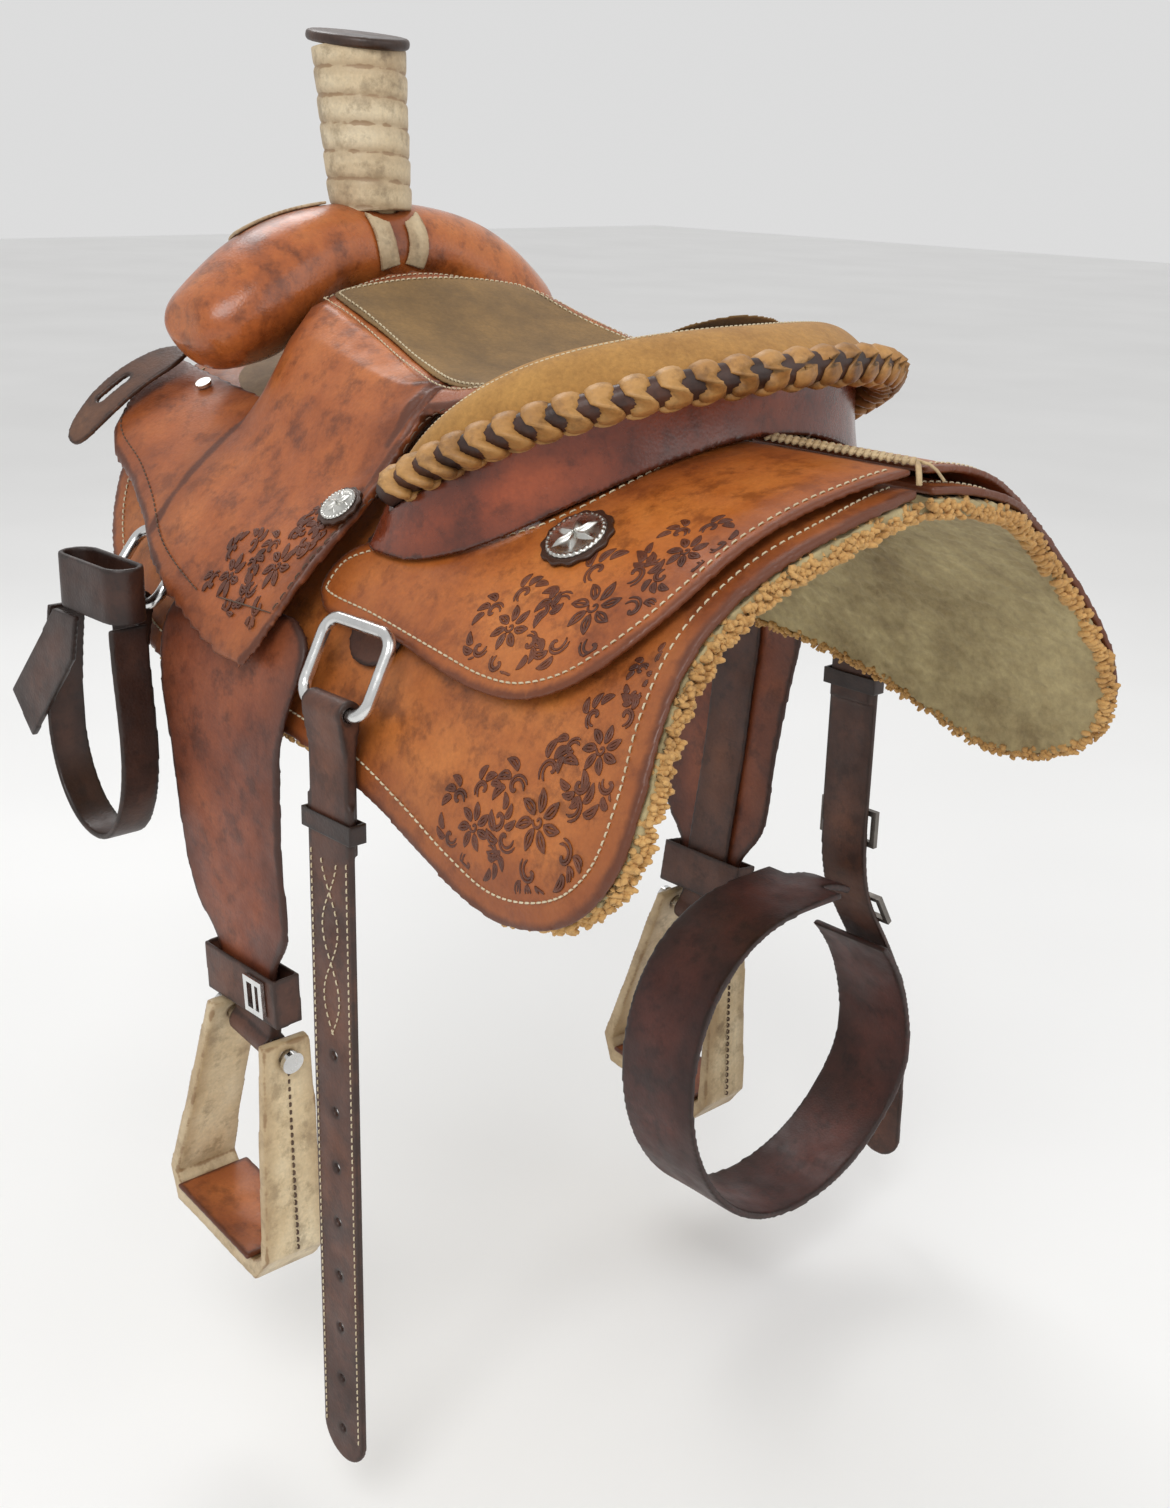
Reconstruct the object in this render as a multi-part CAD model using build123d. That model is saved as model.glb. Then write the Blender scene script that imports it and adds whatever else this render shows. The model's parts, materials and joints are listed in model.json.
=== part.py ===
from build123d import *
import os
from math import atan2, cos, degrees, hypot, pi, radians, sin, sqrt

# Western roping saddle. Millimetres. +X towards the horn, +Y to the rider's left, +Z up.
# The origin is on the midline, on the top of the rack that the fleece rests on.

# The animal's back that every flat leather is laid over: half an ellipse in cross-section.
BACK_HALF_WIDTH = 252.0
BACK_DEPTH = 240.0
BACK_GIRTH_RADIUS = 246.0
FRONT_RISE = 35.0
FRONT_RISE_X = 300.0
FRONT_NARROWING = 22.0
NARROWING_START_X = 60.0
NARROWING_LENGTH = 240.0

# Layers, from the back outwards: distance of each sheet's inner face, and its thickness.
FLEECE = (0.0, 13.4)
SKIRT = (14.0, 6.0)
TREE_BAR = (20.6, 13.0)
RIGGING = (20.6, 4.0)
BACK_JOCKEY = (27.0, 5.0)
SEAT_OFFSET = 34.0
SEAT_THICKNESS = 9.0
SEAT_SPREAD = 48.0
SEAT_DROP = 250.0
GAP = 0.5
BEYOND_MIDLINE = 25.0

# Outlines as (x, distance down the side from the midline).
SKIRT_OUTLINE = [
    (-392, 7), (-397, 74), (-384, 135), (-379, 186), (-386, 236), (-395, 280), (-391, 325),
    (-368, 357), (-331, 375), (-288, 380), (-242, 369), (-192, 352), (-130, 335), (-50, 325),
    (50, 321), (140, 313), (205, 293), (258, 252), (290, 196), (305, 130), (311, 65), (312, 7),
]
BACK_JOCKEY_OUTLINE = [
    (-386, 7), (-383, 51), (-375, 90), (-367, 125), (-361, 162), (-347, 199), (-319, 234),
    (-284, 252), (-246, 256), (-193, 251), (-121, 243), (-62, 238), (-50, 225), (-56, 200),
    (-90, 182), (-140, 168), (-195, 146), (-222, 110), (-232, 60), (-234, 7),
]
BAR_OUTLINE = [
    (-196, 60), (-196, 108), (-170, 128), (-80, 124), (20, 112), (120, 108), (205, 112),
    (236, 96), (238, 62), (205, 46), (120, 46), (20, 48), (-80, 48), (-165, 47),
]
REAR_RIGGING_OUTLINE = [
    (-168, 168), (-166, 215), (-148, 247), (-144, 256), (-100, 256), (-96, 247), (-70, 215),
    (-58, 168), (-112, 158),
]
FRONT_RIGGING_OUTLINE = [
    (120, 168), (124, 208), (142, 236), (148, 246), (190, 246), (196, 236), (222, 208),
    (232, 172), (176, 156),
]
# Half width of the seat and its side jockeys at stations along x, and of the front jockeys.
SEAT_STATIONS = [
    (-212, 60), (-190, 100), (-170, 119), (-150, 134), (-130, 141), (-110, 146), (-90, 149), (-72, 150),
    (-64, 206), (-56, 254), (-47, 274), (-34, 283), (-10, 282), (13, 280), (36, 277), (61, 273), (86, 269),
    (105, 264), (124, 259), (138, 253),
]
FRONT_JOCKEY_STATIONS = [(139, 253), (160, 243), (206, 227), (248, 217), (268, 206), (280, 182), (287, 156)]
FRONT_JOCKEY_INNER_Y = 134.0
SECTION_STEPS = 24
INLAY_PLAN = [(-196, 88), (-150, 118), (-84, 128), (-20, 116), (50, 102), (100, 98), (118, 90), (122, 60)]
GROUND_SEAT_PLAN = [(-150, 60), (-120, 95), (-20, 100), (80, 90), (118, 50)]

# Height of the seat along the midline, and along the line where its top turns down.
SEAT_CENTRE = [
    (-240, 106), (-214, 90), (-180, 63), (-140, 49), (-90, 45), (-30, 50), (30, 66), (90, 90),
    (130, 106), (165, 112), (300, 60),
]
SEAT_EDGE = [
    (-240, 112), (-200, 88), (-150, 66), (-86, 50), (-20, 58), (50, 76), (95, 88), (122, 86),
    (150, 52), (172, 32), (205, 22), (240, 16), (300, 12),
]
SEAT_TOP_HALF = [(-240, 150), (-86, 150), (0, 134), (80, 120), (126, 116), (235, 116), (300, 110)]
SEAT_TURN_WIDTH = [(-240, 60), (-86, 62), (0, 86), (80, 96), (126, 84), (200, 44), (300, 40)]

# Cantle curves, left half, as cubic control points from the midline to the tip.
CREST = [(-232, 0, 107), (-232, 110, 107), (-168, 200, 98), (-86, 178, 2)]
SHELF = [(-292, 0, 88), (-292, 134, 88), (-200, 228, 52), (-80, 195, -12)]
LACE_RADIUS = 11.0
ROLL_THICKNESS = 9.0
BOARD_REACH = 0.5

# Fork: (y, front x, rear x, top z, bottom z) of sections along the swell, left half.
FORK_SECTIONS = [
    (0, 238, 150, 168, 94), (36, 240, 149, 167, 92), (70, 243, 146, 162, 78),
    (102, 246, 142, 153, 52), (130, 246, 142, 139, 44), (152, 242, 146, 123, 42),
    (170, 234, 155, 108, 50), (181, 220, 170, 92, 64),
]
FORK_COVER_THICKNESS = 4.0

HORN_BASE = (192.0, 0.0, 160.0)
HORN_TOP = (206.0, 0.0, 283.0)
HORN_CORE_RADIUS = 22.0
WRAP_RADIUS_LOW = 33.0
WRAP_RADIUS_HIGH = 37.5
CAP_LENGTH = 92.0
CAP_WIDTH = 80.0
CAP_THICKNESS = 9.0
CAP_TILT = 7.0

# Rigging and straps.
DEE_WIRE = 4.5
DEE_WIDTH = 72.0
DEE_CORNER = 13.0
REAR_DEE_X = -130.0
FRONT_DEE_X = 148.0
BILLET_WIDTH = 50.0
BILLET_THICKNESS = 4.5
FOLD_WIDTH = 44.0
STRAP_WIDTH = 40.0
BILLET_JOIN_Z = -236.0
BILLET_HOLE_RADIUS = 3.2
BILLET_FIRST_HOLE_Z = -392.0
BILLET_HOLE_PITCH = 45.5
BILLET_HOLES = 8
KEEPER_Z = -218.0

DEE_TOP = (248.0, -84.0)
DEE_BOTTOM = (274.0, -136.0)
BILLET_TAIL = {
    "left": [(276.3, -200), (276.4, -300), (276.4, -420), (276.4, -560), (276.4, -748)],
    "right": [
        (276.4, -200), (276.4, -230), (276.4, -260), (276.4, -290), (276.4, -320), (276.6, -350),
        (279, -385), (290, -425), (308, -455), (330, -490), (352, -538), (362, -600), (366, -660),
        (367, -735),
    ],
}
CINCH_WIDTH = 84.0
CINCH_THICKNESS = 6.0
CINCH_PATH = [
    (266, -409), (236, -398), (190, -396), (138, -402), (86, -432), (54, -492), (56, -575),
    (92, -645), (160, -690), (232, -692), (300, -660), (343, -600), (338, -545), (316, -494), (296, -468),
]
REAR_CONCHO = (-247.0, 151.0)
TIP_CONCHO = (-52.0, 206.0)
SEAT_SCREW = (218.0, 149.0)

# Fender and stirrup.
FENDER_PROFILE = [(246, -95), (254.5, -110), (261.5, -125), (266, -140), (269.5, -160), (271.5, -180)]
FENDER_STRAIGHT_Y = 272.0
FENDER_LEAN_Z = -180.0
FENDER_LEAN = {"left": 3.0, "right": 9.0}
FENDER_DROP = {"left": 0.0, "right": -45.0}
FENDER_THICKNESS = 4.5
LEATHER_THICKNESS = 4.0
LEATHER_WIDTH = 50.0
FENDER_OUTLINE = [
    (60, -97), (94, -112), (94, -150), (84, -199), (80, -250), (76, -290), (62, -341), (38, -374),
    (36, -396), (-34, -396), (-36, -372), (-54, -340), (-58, -300), (-58, -250), (-64, -205),
    (-76, -150), (-80, -112), (-58, -97),
]
HOBBLE_Z = -388.0
HOBBLE_HEIGHT = 40.0
HOBBLE_WIDTH = 96.0
STIRRUP_BOLT_X = 1.0
STIRRUP_BOLT_Z = -432.0
STIRRUP_HEIGHT = 192.0
STIRRUP_TOP_HALF = 40.0
STIRRUP_BOTTOM_HALF = 72.0
STIRRUP_DEPTH_TOP = 42.0
STIRRUP_DEPTH_BOTTOM = 58.0
STIRRUP_WALL = 11.0
STIRRUP_TREAD_HEIGHT = 18.0
STIRRUP_TILT = 9.0
STIRRUP_BOLT_RADIUS = 6.0

# Latigo on the left front dee.
FRONT_DEE_TOP = (231.0, -74.0)
FRONT_DEE_BOTTOM = (266.0, -118.0)
LATIGO_WIDTH = 44.0
LATIGO_X = FRONT_DEE_X
LATIGO_THICKNESS = 4.5
KNOT = {"x": (86.0, 180.0), "y": (279.5, 312.0), "z": (-122.0, -80.0)}
LATIGO_LOOP = [
    (97, -126), (92, -190), (96, -258), (124, -296), (164, -296), (198, -260), (205, -195), (192, -126),
]
LATIGO_LOOP_Y = 296.0
LATIGO_LOOP_WIDTH = 31.0
LATIGO_TAIL = [(140, -124), (174, -124), (256, -208), (226, -240), (150, -160)]
KEEPER_OUTLINE = [
    (256, 122), (274, 128), (292, 150), (304, 180), (306, 206), (298, 222), (284, 222), (272, 208),
    (262, 180), (252, 150), (248, 132),
]
KEEPER_LAYER = (60.0, 4.0)

SIDES = {"left": 1, "right": -1}
NODES = {}


def keep(name, shape):
    """Record a named node made of one or more solids."""
    NODES[name] = shape


def between(table, x):
    """Smooth value at x of a table of (x, value) pairs."""
    if x <= table[0][0]:
        return table[0][1]
    if x >= table[-1][0]:
        return table[-1][1]
    i = max(k for k in range(len(table) - 1) if table[k][0] <= x)
    (x0, v0), (x1, v1) = table[i], table[i + 1]
    before = table[max(i - 1, 0)]
    after = table[min(i + 2, len(table) - 1)]
    slope0 = (v1 - before[1]) / (x1 - before[0])
    slope1 = (after[1] - v0) / (after[0] - x0)
    t = (x - x0) / (x1 - x0)
    span = x1 - x0
    return (
        (2 * t**3 - 3 * t**2 + 1) * v0
        + (t**3 - 2 * t**2 + t) * span * slope0
        + (3 * t**2 - 2 * t**3) * v1
        + (t**3 - t**2) * span * slope1
    )


def ridge(x):
    """Height of the back's midline at x."""
    return FRONT_RISE * (max(x, 0.0) / FRONT_RISE_X) ** 2


def half_width(x):
    """Half width of the back at x."""
    along = min(max((x - NARROWING_START_X) / NARROWING_LENGTH, 0.0), 1.3)
    return BACK_HALF_WIDTH - FRONT_NARROWING * along**1.5


def on_back(x, down, off):
    """Point `down` the left side from the midline and `off` out from the back."""
    angle = down / BACK_GIRTH_RADIUS
    a = half_width(x)
    ny = BACK_DEPTH * sin(angle)
    nz = a * cos(angle)
    length = hypot(ny, nz)
    y = a * sin(angle) + off * ny / length
    z = ridge(x) + BACK_DEPTH * (cos(angle) - 1) + off * nz / length
    return Vector(x, y, z)


def spans(low, high, step):
    """Evenly spaced values from low to high, about a step apart."""
    count = max(2, int(round((high - low) / step)) + 1)
    return [low + (high - low) * i / (count - 1) for i in range(count)]


def prism_along(direction, points, closing=()):
    """Solid seen along a direction as a smooth outline, with an optional closing run."""
    plane = Plane(origin=(0, 0, 0), z_dir=direction)

    def flattened(point):
        local = plane.to_local_coords(Vector(*point))
        return plane.from_local_coords(Vector(local.X, local.Y, -900))

    flat = [flattened(point) for point in points]
    if closing:
        run = [flat[-1]] + [flattened(point) for point in closing] + [flat[0]]
        outline = Wire([Edge.make_spline(flat), Edge.make_spline(run)])
    else:
        outline = Wire([Edge.make_spline(flat, periodic=True)])
    return Solid.extrude(Face(outline), plane.z_dir * 1800)


def trimmed(face, prism):
    """The part of a face inside a prism."""
    cut = face.intersect(prism)
    faces = cut.faces() if hasattr(cut, "faces") else cut
    return max(faces, key=lambda piece: piece.area)


def sheet(outline, layer):
    """Leather sheet on the left side of the back."""
    inner, thickness = layer
    xs = spans(min(p[0] for p in outline) - 12, max(p[0] for p in outline) + 12, 24)
    on_midline = outline[0][1] == outline[-1][1]
    first = outline[0][1] if on_midline else min(p[1] for p in outline) - 12
    downs = spans(first, max(p[1] for p in outline) + 12, 14)
    grid = [[on_back(x, down, inner) for down in downs] for x in xs]
    face = Face.make_surface_from_array_of_points(grid)
    points = [on_back(x, down, inner) for x, down in outline]
    closing = []
    if on_midline:
        run = spans(outline[-1][0], outline[0][0], 60)[1:-1]
        closing = [on_back(x, -BEYOND_MIDLINE, inner) for x in run]
    piece = trimmed(face, prism_along((0, 1, 1), points, closing))
    outward = on_back(0, 150, 1) - on_back(0, 150, 0)
    return Solid.thicken(piece, thickness, normal_override=outward)


def on_both_sides(name, solid):
    """Keep a left-hand solid and its mirror image."""
    keep(name + "_left", solid)
    keep(name + "_right", solid.mirror(Plane.XZ))


def as_pair(name, solid):
    """Keep a left-hand solid and its mirror image as one node."""
    keep(name, Compound(children=[solid, solid.mirror(Plane.XZ)]))


def cubic(points, t):
    """Point of a cubic curve at t."""
    weights = ((1 - t) ** 3, 3 * (1 - t) ** 2 * t, 3 * (1 - t) * t**2, t**3)
    return Vector(*(sum(w * p[i] for w, p in zip(weights, points)) for i in range(3)))


def mirrored_curve(points, u):
    """Point of a left-half cubic and its mirror image, u from -1 to 1."""
    point = cubic(points, abs(u))
    return point if u >= 0 else Vector(point.X, -point.Y, point.Z)


def seat_side_z(x, y):
    """Height of the underside of the side jockeys, which follow the back."""
    a = half_width(x) + SEAT_SPREAD
    return ridge(x) + SEAT_OFFSET - SEAT_DROP * (1 - sqrt(max(1 - (y / a) ** 2, 0.0)))


def seat_z(x, y):
    """Height of the underside of the seat leather."""
    y = abs(y)
    centre = between(SEAT_CENTRE, x)
    edge = between(SEAT_EDGE, x)
    top_half = between(SEAT_TOP_HALF, x)
    turn = between(SEAT_TURN_WIDTH, x)
    top = centre + (edge - centre) * (y / top_half) ** 2
    side = seat_side_z(x, y)
    t = min(max((y - top_half * 0.86) / turn, 0.0), 1.0)
    blend = t * t * (3 - 2 * t)
    return top * (1 - blend) + side * blend


def loft_through(sections):
    """Solid through closed smooth sections, each a list of points."""
    wires = [Wire([Edge.make_spline([Vector(*p) for p in ring], periodic=True)]) for ring in sections]
    return Solid.make_loft(wires)


def fork_block(inset):
    """The swell, drawn in by `inset` all over (grown where it is negative)."""
    rings = []
    rows = [(-y, f, r, t, b) for y, f, r, t, b in reversed(FORK_SECTIONS[1:])] + FORK_SECTIONS
    widest = FORK_SECTIONS[-1][0]
    for y, front, rear, top, bottom in rows:
        centre_x = (front + rear) / 2
        centre_z = (top + bottom) / 2
        rx = (front - rear) / 2 - inset
        rz = (top - bottom) / 2 - inset
        place = y * (widest - inset) / widest
        ring = []
        for k in range(12):
            angle = 2 * pi * k / 12
            ring.append((centre_x + rx * cos(angle), place, centre_z + rz * sin(angle)))
        rings.append(ring)
    return loft_through(rings)


def roll_frame(u):
    """Crest point, outward and upward directions, and width of the roll at u."""
    crest = mirrored_curve(CREST, u)
    shelf = mirrored_curve(SHELF, u)
    step = 0.01 if u < 0.5 else -0.01
    ahead = mirrored_curve(CREST, u + step) + mirrored_curve(SHELF, u + step)
    along = (ahead - crest - shelf) * (1 if step > 0 else -1)
    along = along.normalized()
    across = shelf - crest
    across = across - along * across.dot(along)
    out = across.normalized()
    return crest, out, along.cross(out), across.length


def roll_ring(u, grow):
    """Section of the cantle roll at u, grown all over by `grow`."""
    crest, out, up, width = roll_frame(u)
    reach = width - LACE_RADIUS
    thick = ROLL_THICKNESS
    return [
        crest + out * (-5 - grow) + up * (-thick / 2),
        crest + out * (reach * 0.1) + up * (2 + grow),
        crest + out * (reach * 0.55) + up * (3 + grow),
        crest + out * (reach + grow) + up * (-thick / 2),
        crest + out * (reach * 0.55) + up * (-thick - grow),
        crest + out * (reach * 0.1) + up * (-thick - 2 - grow),
    ]


def steps(count):
    """Values of u from the right tip to the left tip of the cantle."""
    return [-1 + 2 * k / (count - 1) for k in range(count)]


def cantle_wall(u, v):
    """Rear face of the cantle: v is 0 on the jockeys and 1 under the roll."""
    crest = mirrored_curve(CREST, u)
    shelf = mirrored_curve(SHELF, u)
    top = crest + (shelf - crest) * 0.42 + Vector(0, 0, -ROLL_THICKNESS - 2)
    foot_x = top.X + 4
    foot_down = abs(top.Y) * 1.0 + 10 * abs(u) ** 3
    foot = on_back(foot_x, foot_down, BACK_JOCKEY[0] + BACK_JOCKEY[1] + 1.5)
    foot_y = foot.Y if u >= 0 else -foot.Y
    foot = Vector(foot.X, foot_y, foot.Z)
    sag = Vector(5, 0, 0) * sin(pi * v) * (1 - u * u)
    return foot + (top - foot) * v + sag


def strip(path, thickness, plane, width):
    """Strap bent in a plane: the path is its middle line, the width lies across the plane."""
    left, right = [], []
    for i, (a, b) in enumerate(path):
        a0, b0 = path[max(i - 1, 0)]
        a1, b1 = path[min(i + 1, len(path) - 1)]
        run = hypot(a1 - a0, b1 - b0)
        na, nb = -(b1 - b0) / run * thickness / 2, (a1 - a0) / run * thickness / 2
        left.append(plane.from_local_coords((a + na, b + nb, -width / 2)))
        right.append(plane.from_local_coords((a - na, b - nb, -width / 2)))
    outline = Wire([
        Edge.make_spline(left),
        Edge.make_line(left[-1], right[-1]),
        Edge.make_spline(right[::-1]),
        Edge.make_line(right[0], left[0]),
    ])
    return Solid.extrude(Face(outline), plane.z_dir * width)


def disc(place, normal, radius, thickness):
    """Flat round piece whose back face is centred on a point of a surface."""
    return Plane(origin=place, z_dir=normal) * extrude(Circle(radius), thickness)


def normal_at(x, down):
    """Outward direction of the back."""
    return (on_back(x, down, 10) - on_back(x, down, 0)).normalized()


def seat_leather(rise=0.0):
    """Underside of the leather of the seat and both side jockeys, raised by `rise`."""
    grid = []
    for x in spans(-244, 300, 30):
        reach = half_width(x) + SEAT_SPREAD - 9
        ys = [reach * k / 10 for k in range(-10, 11)]
        grid.append([Vector(x, y, seat_z(x, y) + rise) for y in ys])
    return Face.make_surface_from_array_of_points(grid)


def seat_section(x, y_from, y_to, height):
    """Closed section of the seat leather across the saddle, height(x, y) being its underside."""
    ys = [y_from + (y_to - y_from) * k / SECTION_STEPS for k in range(SECTION_STEPS + 1)]
    under = [Vector(x, y, height(x, y)) for y in ys]
    over = [point + Vector(0, 0, SEAT_THICKNESS) for point in reversed(under)]
    return Wire.make_polygon(under + over, close=True)


def make_tree():
    """Bars, fork and cantle board: the rigid frame under the leather."""
    bar = sheet(BAR_OUTLINE, TREE_BAR)
    keep("tree_bar_left", bar)
    keep("tree_bar_right", bar.mirror(Plane.XZ))
    horn_axis = Vector(*HORN_TOP) - Vector(*HORN_BASE)
    post_plane = Plane(origin=Vector(*HORN_BASE) - horn_axis.normalized() * 30, z_dir=horn_axis)
    hole = post_plane * extrude(Circle(HORN_CORE_RADIUS + GAP), 200)
    core = fork_block(FORK_COVER_THICKNESS + GAP) - hole
    cover = fork_block(0) - fork_block(FORK_COVER_THICKNESS) - hole
    keep("tree_fork", core)
    keep("fork_cover", cover)
    length = (Vector(*HORN_TOP) - post_plane.origin).length
    post = post_plane * extrude(Circle(HORN_CORE_RADIUS), length)
    keep("horn_core", post - fork_inner_floor())
    grown = fork_block(-GAP)
    sleeve = Plane(origin=HORN_BASE, z_dir=horn_axis) * (
        Pos(0, 0, 58) * Cone(WRAP_RADIUS_LOW, WRAP_RADIUS_HIGH, 116)
    )
    sleeve = sleeve - post_plane * extrude(Circle(HORN_CORE_RADIUS + GAP), 200)
    keep("horn_wrap", (sleeve - grown).solids().sort_by(Axis.Z)[-1])
    cap = extrude(Ellipse(CAP_LENGTH / 2, CAP_WIDTH / 2), CAP_THICKNESS)
    cap = fillet(cap.edges(), 3.5)
    cap_place = Plane(origin=Vector(*HORN_TOP) + Vector(2, 0, 6.5), z_dir=(sin(radians(-CAP_TILT)), 0, 1))
    keep("horn_cap", cap_place * cap)
    make_wrap_tails(grown)


def fork_inner_floor():
    """Everything below the foot of the horn post."""
    return Pos(HORN_BASE[0], 0, HORN_BASE[2] - 60) * Box(120, 120, 80)


def make_wrap_tails(grown):
    """The horn wrap's ends, laid down the back of the swell, and one along its top."""
    neck = Pos(HORN_BASE[0], 0, HORN_BASE[2]) * Cylinder(WRAP_RADIUS_LOW + 3, 60)
    shell = fork_block(-GAP - 2.4) - grown - neck
    tails = []
    for side in (1, -1):
        run = [(side * 15, 176), (side * 17, 150), (side * 15, 130), (side * 12, 119)]
        prism = strip(run, 19, Plane.YZ, 70)
        tails.append(shell & (Pos(HORN_BASE[0] - 61, 0, 0) * prism))
    prism = strip([(205, 40), (212, 74), (218, 118)], 19, Plane.XY, 140)
    tails.append(shell & (Pos(0, 0, 170) * prism))
    pieces = [solid for tail in tails for solid in tail.solids() if solid.volume > 300]
    keep("horn_wrap_tails", Compound(children=pieces))


def make_cantle():
    """Board, back leather, roll and its lacing."""
    heights = (0.0, 0.25, 0.5, 0.75, 1.0)
    wall = Face.make_surface_from_array_of_points([[cantle_wall(u, v) for v in heights] for u in steps(25)])
    rows = (0.1, 0.3, 0.5, 0.7, 0.9)
    inner = [[cantle_wall(u * BOARD_REACH, v) + Vector(GAP + 1, 0, 0) for v in rows] for u in steps(17)]
    board = Face.make_surface_from_array_of_points(inner)
    keep("cantle_board", Solid.thicken(board, 7.0, normal_override=(1, 0, 0)))
    keep("cantle_roll", loft_through([roll_ring(u, 0) for u in steps(15)]))
    bead = []
    grown_bead = []
    for u in steps(15):
        crest, out, up, width = roll_frame(u)
        middle = crest + out * (width - LACE_RADIUS * 0.1) - up * (ROLL_THICKNESS / 2)
        for rings, radius in ((bead, LACE_RADIUS), (grown_bead, LACE_RADIUS + GAP)):
            turns = [2 * pi * k / 10 for k in range(10)]
            rings.append([middle + out * (radius * 0.85 * cos(a)) + up * (radius * sin(a)) for a in turns])
    grown = loft_through([roll_ring(u, GAP) for u in steps(15)])
    lacing = loft_through(bead) - grown
    keep("cantle_lacing", lacing)
    back = Solid.thicken(wall, 4.0, normal_override=(-1, 0, 0)) - grown - loft_through(grown_bead)
    keep("cantle_back", max(back.solids(), key=lambda solid: solid.volume))


def make_seat():
    """Seat leather, its suede inlay and the ground seat under it."""
    main = Solid.make_loft([seat_section(x, -w, w, seat_z) for x, w in SEAT_STATIONS], ruled=True)
    front = Solid.make_loft(
        [seat_section(x, FRONT_JOCKEY_INNER_Y, w, seat_side_z) for x, w in FRONT_JOCKEY_STATIONS],
        ruled=True,
    )
    keep("seat", Compound(children=[main, front, front.mirror(Plane.XZ)]))
    for name, plan, rise, thickness in (
        ("seat_inlay", INLAY_PLAN, SEAT_THICKNESS + 2.6, 1.6),
        ("ground_seat", GROUND_SEAT_PLAN, -6.0, 3.0),
    ):
        outline = [(x, y, 0) for x, y in plan] + [(x, -y, 0) for x, y in reversed(plan)]
        face = trimmed(seat_leather(rise), prism_along((0, 0, 1), outline))
        keep(name, Solid.extrude(face, Vector(0, 0, thickness)))


def make_back_leathers():
    """Fleece, skirts, rear jockeys with their laced seam, and the rigging leathers."""
    on_both_sides("fleece", sheet(SKIRT_OUTLINE, FLEECE))
    on_both_sides("skirt", sheet(SKIRT_OUTLINE, SKIRT))
    on_both_sides("back_jockey", sheet(BACK_JOCKEY_OUTLINE, BACK_JOCKEY))
    plates = [sheet(outline, RIGGING) for outline in (FRONT_RIGGING_OUTLINE, REAR_RIGGING_OUTLINE)]
    keep("rigging_left", Compound(children=plates))
    keep("rigging_right", Compound(children=[plate.mirror(Plane.XZ) for plate in plates]))
    top = BACK_JOCKEY[0] + BACK_JOCKEY[1]
    seam = [(x, top + 2.8) for x in spans(-384, -262, 30)]
    keep("jockey_lacing", strip(seam, 3.5, Plane.XZ, 9))


def on_seat(x, y, lift):
    """Point `lift` off the top of the seat leather, and the outward direction there."""
    here = Vector(x, y, seat_z(x, y) + SEAT_THICKNESS)
    along = Vector(x + 1, y, seat_z(x + 1, y) + SEAT_THICKNESS) - here
    across = Vector(x, y + 1, seat_z(x, y + 1) + SEAT_THICKNESS) - here
    normal = along.cross(across).normalized()
    return here + normal * lift, normal


def make_conchos():
    """Star conchos on their leather rosettes, and the seat screws."""
    top = BACK_JOCKEY[0] + BACK_JOCKEY[1] + 0.4
    rear = on_back(*REAR_CONCHO, top)
    rear_normal = normal_at(*REAR_CONCHO)
    tip, tip_normal = on_seat(*TIP_CONCHO, 3.0)
    screw, screw_normal = on_seat(*SEAT_SCREW, 2.2)
    as_pair("rear_rosettes", disc(rear, rear_normal, 25, 3))
    as_pair("rear_conchos", disc(rear + rear_normal * 3.2, rear_normal, 22, 3))
    as_pair("tip_rosettes", disc(tip, tip_normal, 17, 3))
    as_pair("tip_conchos", disc(tip + tip_normal * 3.2, tip_normal, 15, 3))
    as_pair("seat_screws", disc(screw, screw_normal, 6.5, 2.5))


def dee(x, y, top_z, bottom_y, bottom_z):
    """Round-wire dee hanging from its straight top bar, leaning out at the bottom."""
    height = hypot(bottom_y - y, top_z - bottom_z)
    w = DEE_WIDTH / 2
    corner = DEE_CORNER
    path = FilletPolyline((-w, 0), (w, 0), (w, -height), (-w, -height), close=True, radius=corner)
    section = Plane(origin=(0, 0, 0), x_dir=(0, 1, 0), z_dir=(1, 0, 0)) * Circle(DEE_WIRE)
    ring = Rot(90, 0, 0) * sweep(section, path=path)
    lean = degrees(atan2(bottom_y - y, top_z - bottom_z))
    return Pos(x, y, top_z) * Rot(lean, 0, 0) * ring


def folded_strap(width, place, join_z):
    """Strap folded over the bottom bar of a dee, its two layers together below it."""
    loop_y, loop_z = place
    inner = DEE_WIRE + GAP
    outer = inner + BILLET_THICKNESS
    half = BILLET_THICKNESS + 0.1
    profile = Plane.YZ * (Pos(loop_y, loop_z) * Circle(outer))
    throat = [
        (loop_y - outer * 0.97, loop_z - 2), (loop_y + outer * 0.97, loop_z - 2),
        (loop_y + half, loop_z - 28), (loop_y + half, join_z),
        (loop_y - half, join_z), (loop_y - half, loop_z - 28),
    ]
    profile = profile + Plane.YZ * make_face(Polyline(*throat, close=True))
    body = extrude(profile, width / 2, dir=(1, 0, 0), both=True)
    return body - Pos(0, loop_y, loop_z) * Rot(0, 90, 0) * Cylinder(inner, width + 2)


def flank_billet(side_name):
    """Billet on its dee: two layers as far as the keeper, one long one below it."""
    path = BILLET_TAIL[side_name]
    tail = strip(path, BILLET_THICKNESS, Plane.YZ, BILLET_WIDTH)
    tip_z = path[-1][1]
    round_tip = Plane.XZ * (
        Pos(0, tip_z + 34) * Circle(BILLET_WIDTH / 2 + 0.01)
        + Pos(0, tip_z + 60) * Rectangle(BILLET_WIDTH + 4, 60)
    )
    corners = Pos(0, 0, tip_z + 30) * Box(BILLET_WIDTH + 2, 900, 70)
    return folded_strap(FOLD_WIDTH, DEE_BOTTOM, BILLET_JOIN_Z) + tail - (
        corners - extrude(round_tip, 500, both=True)
    )


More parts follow.
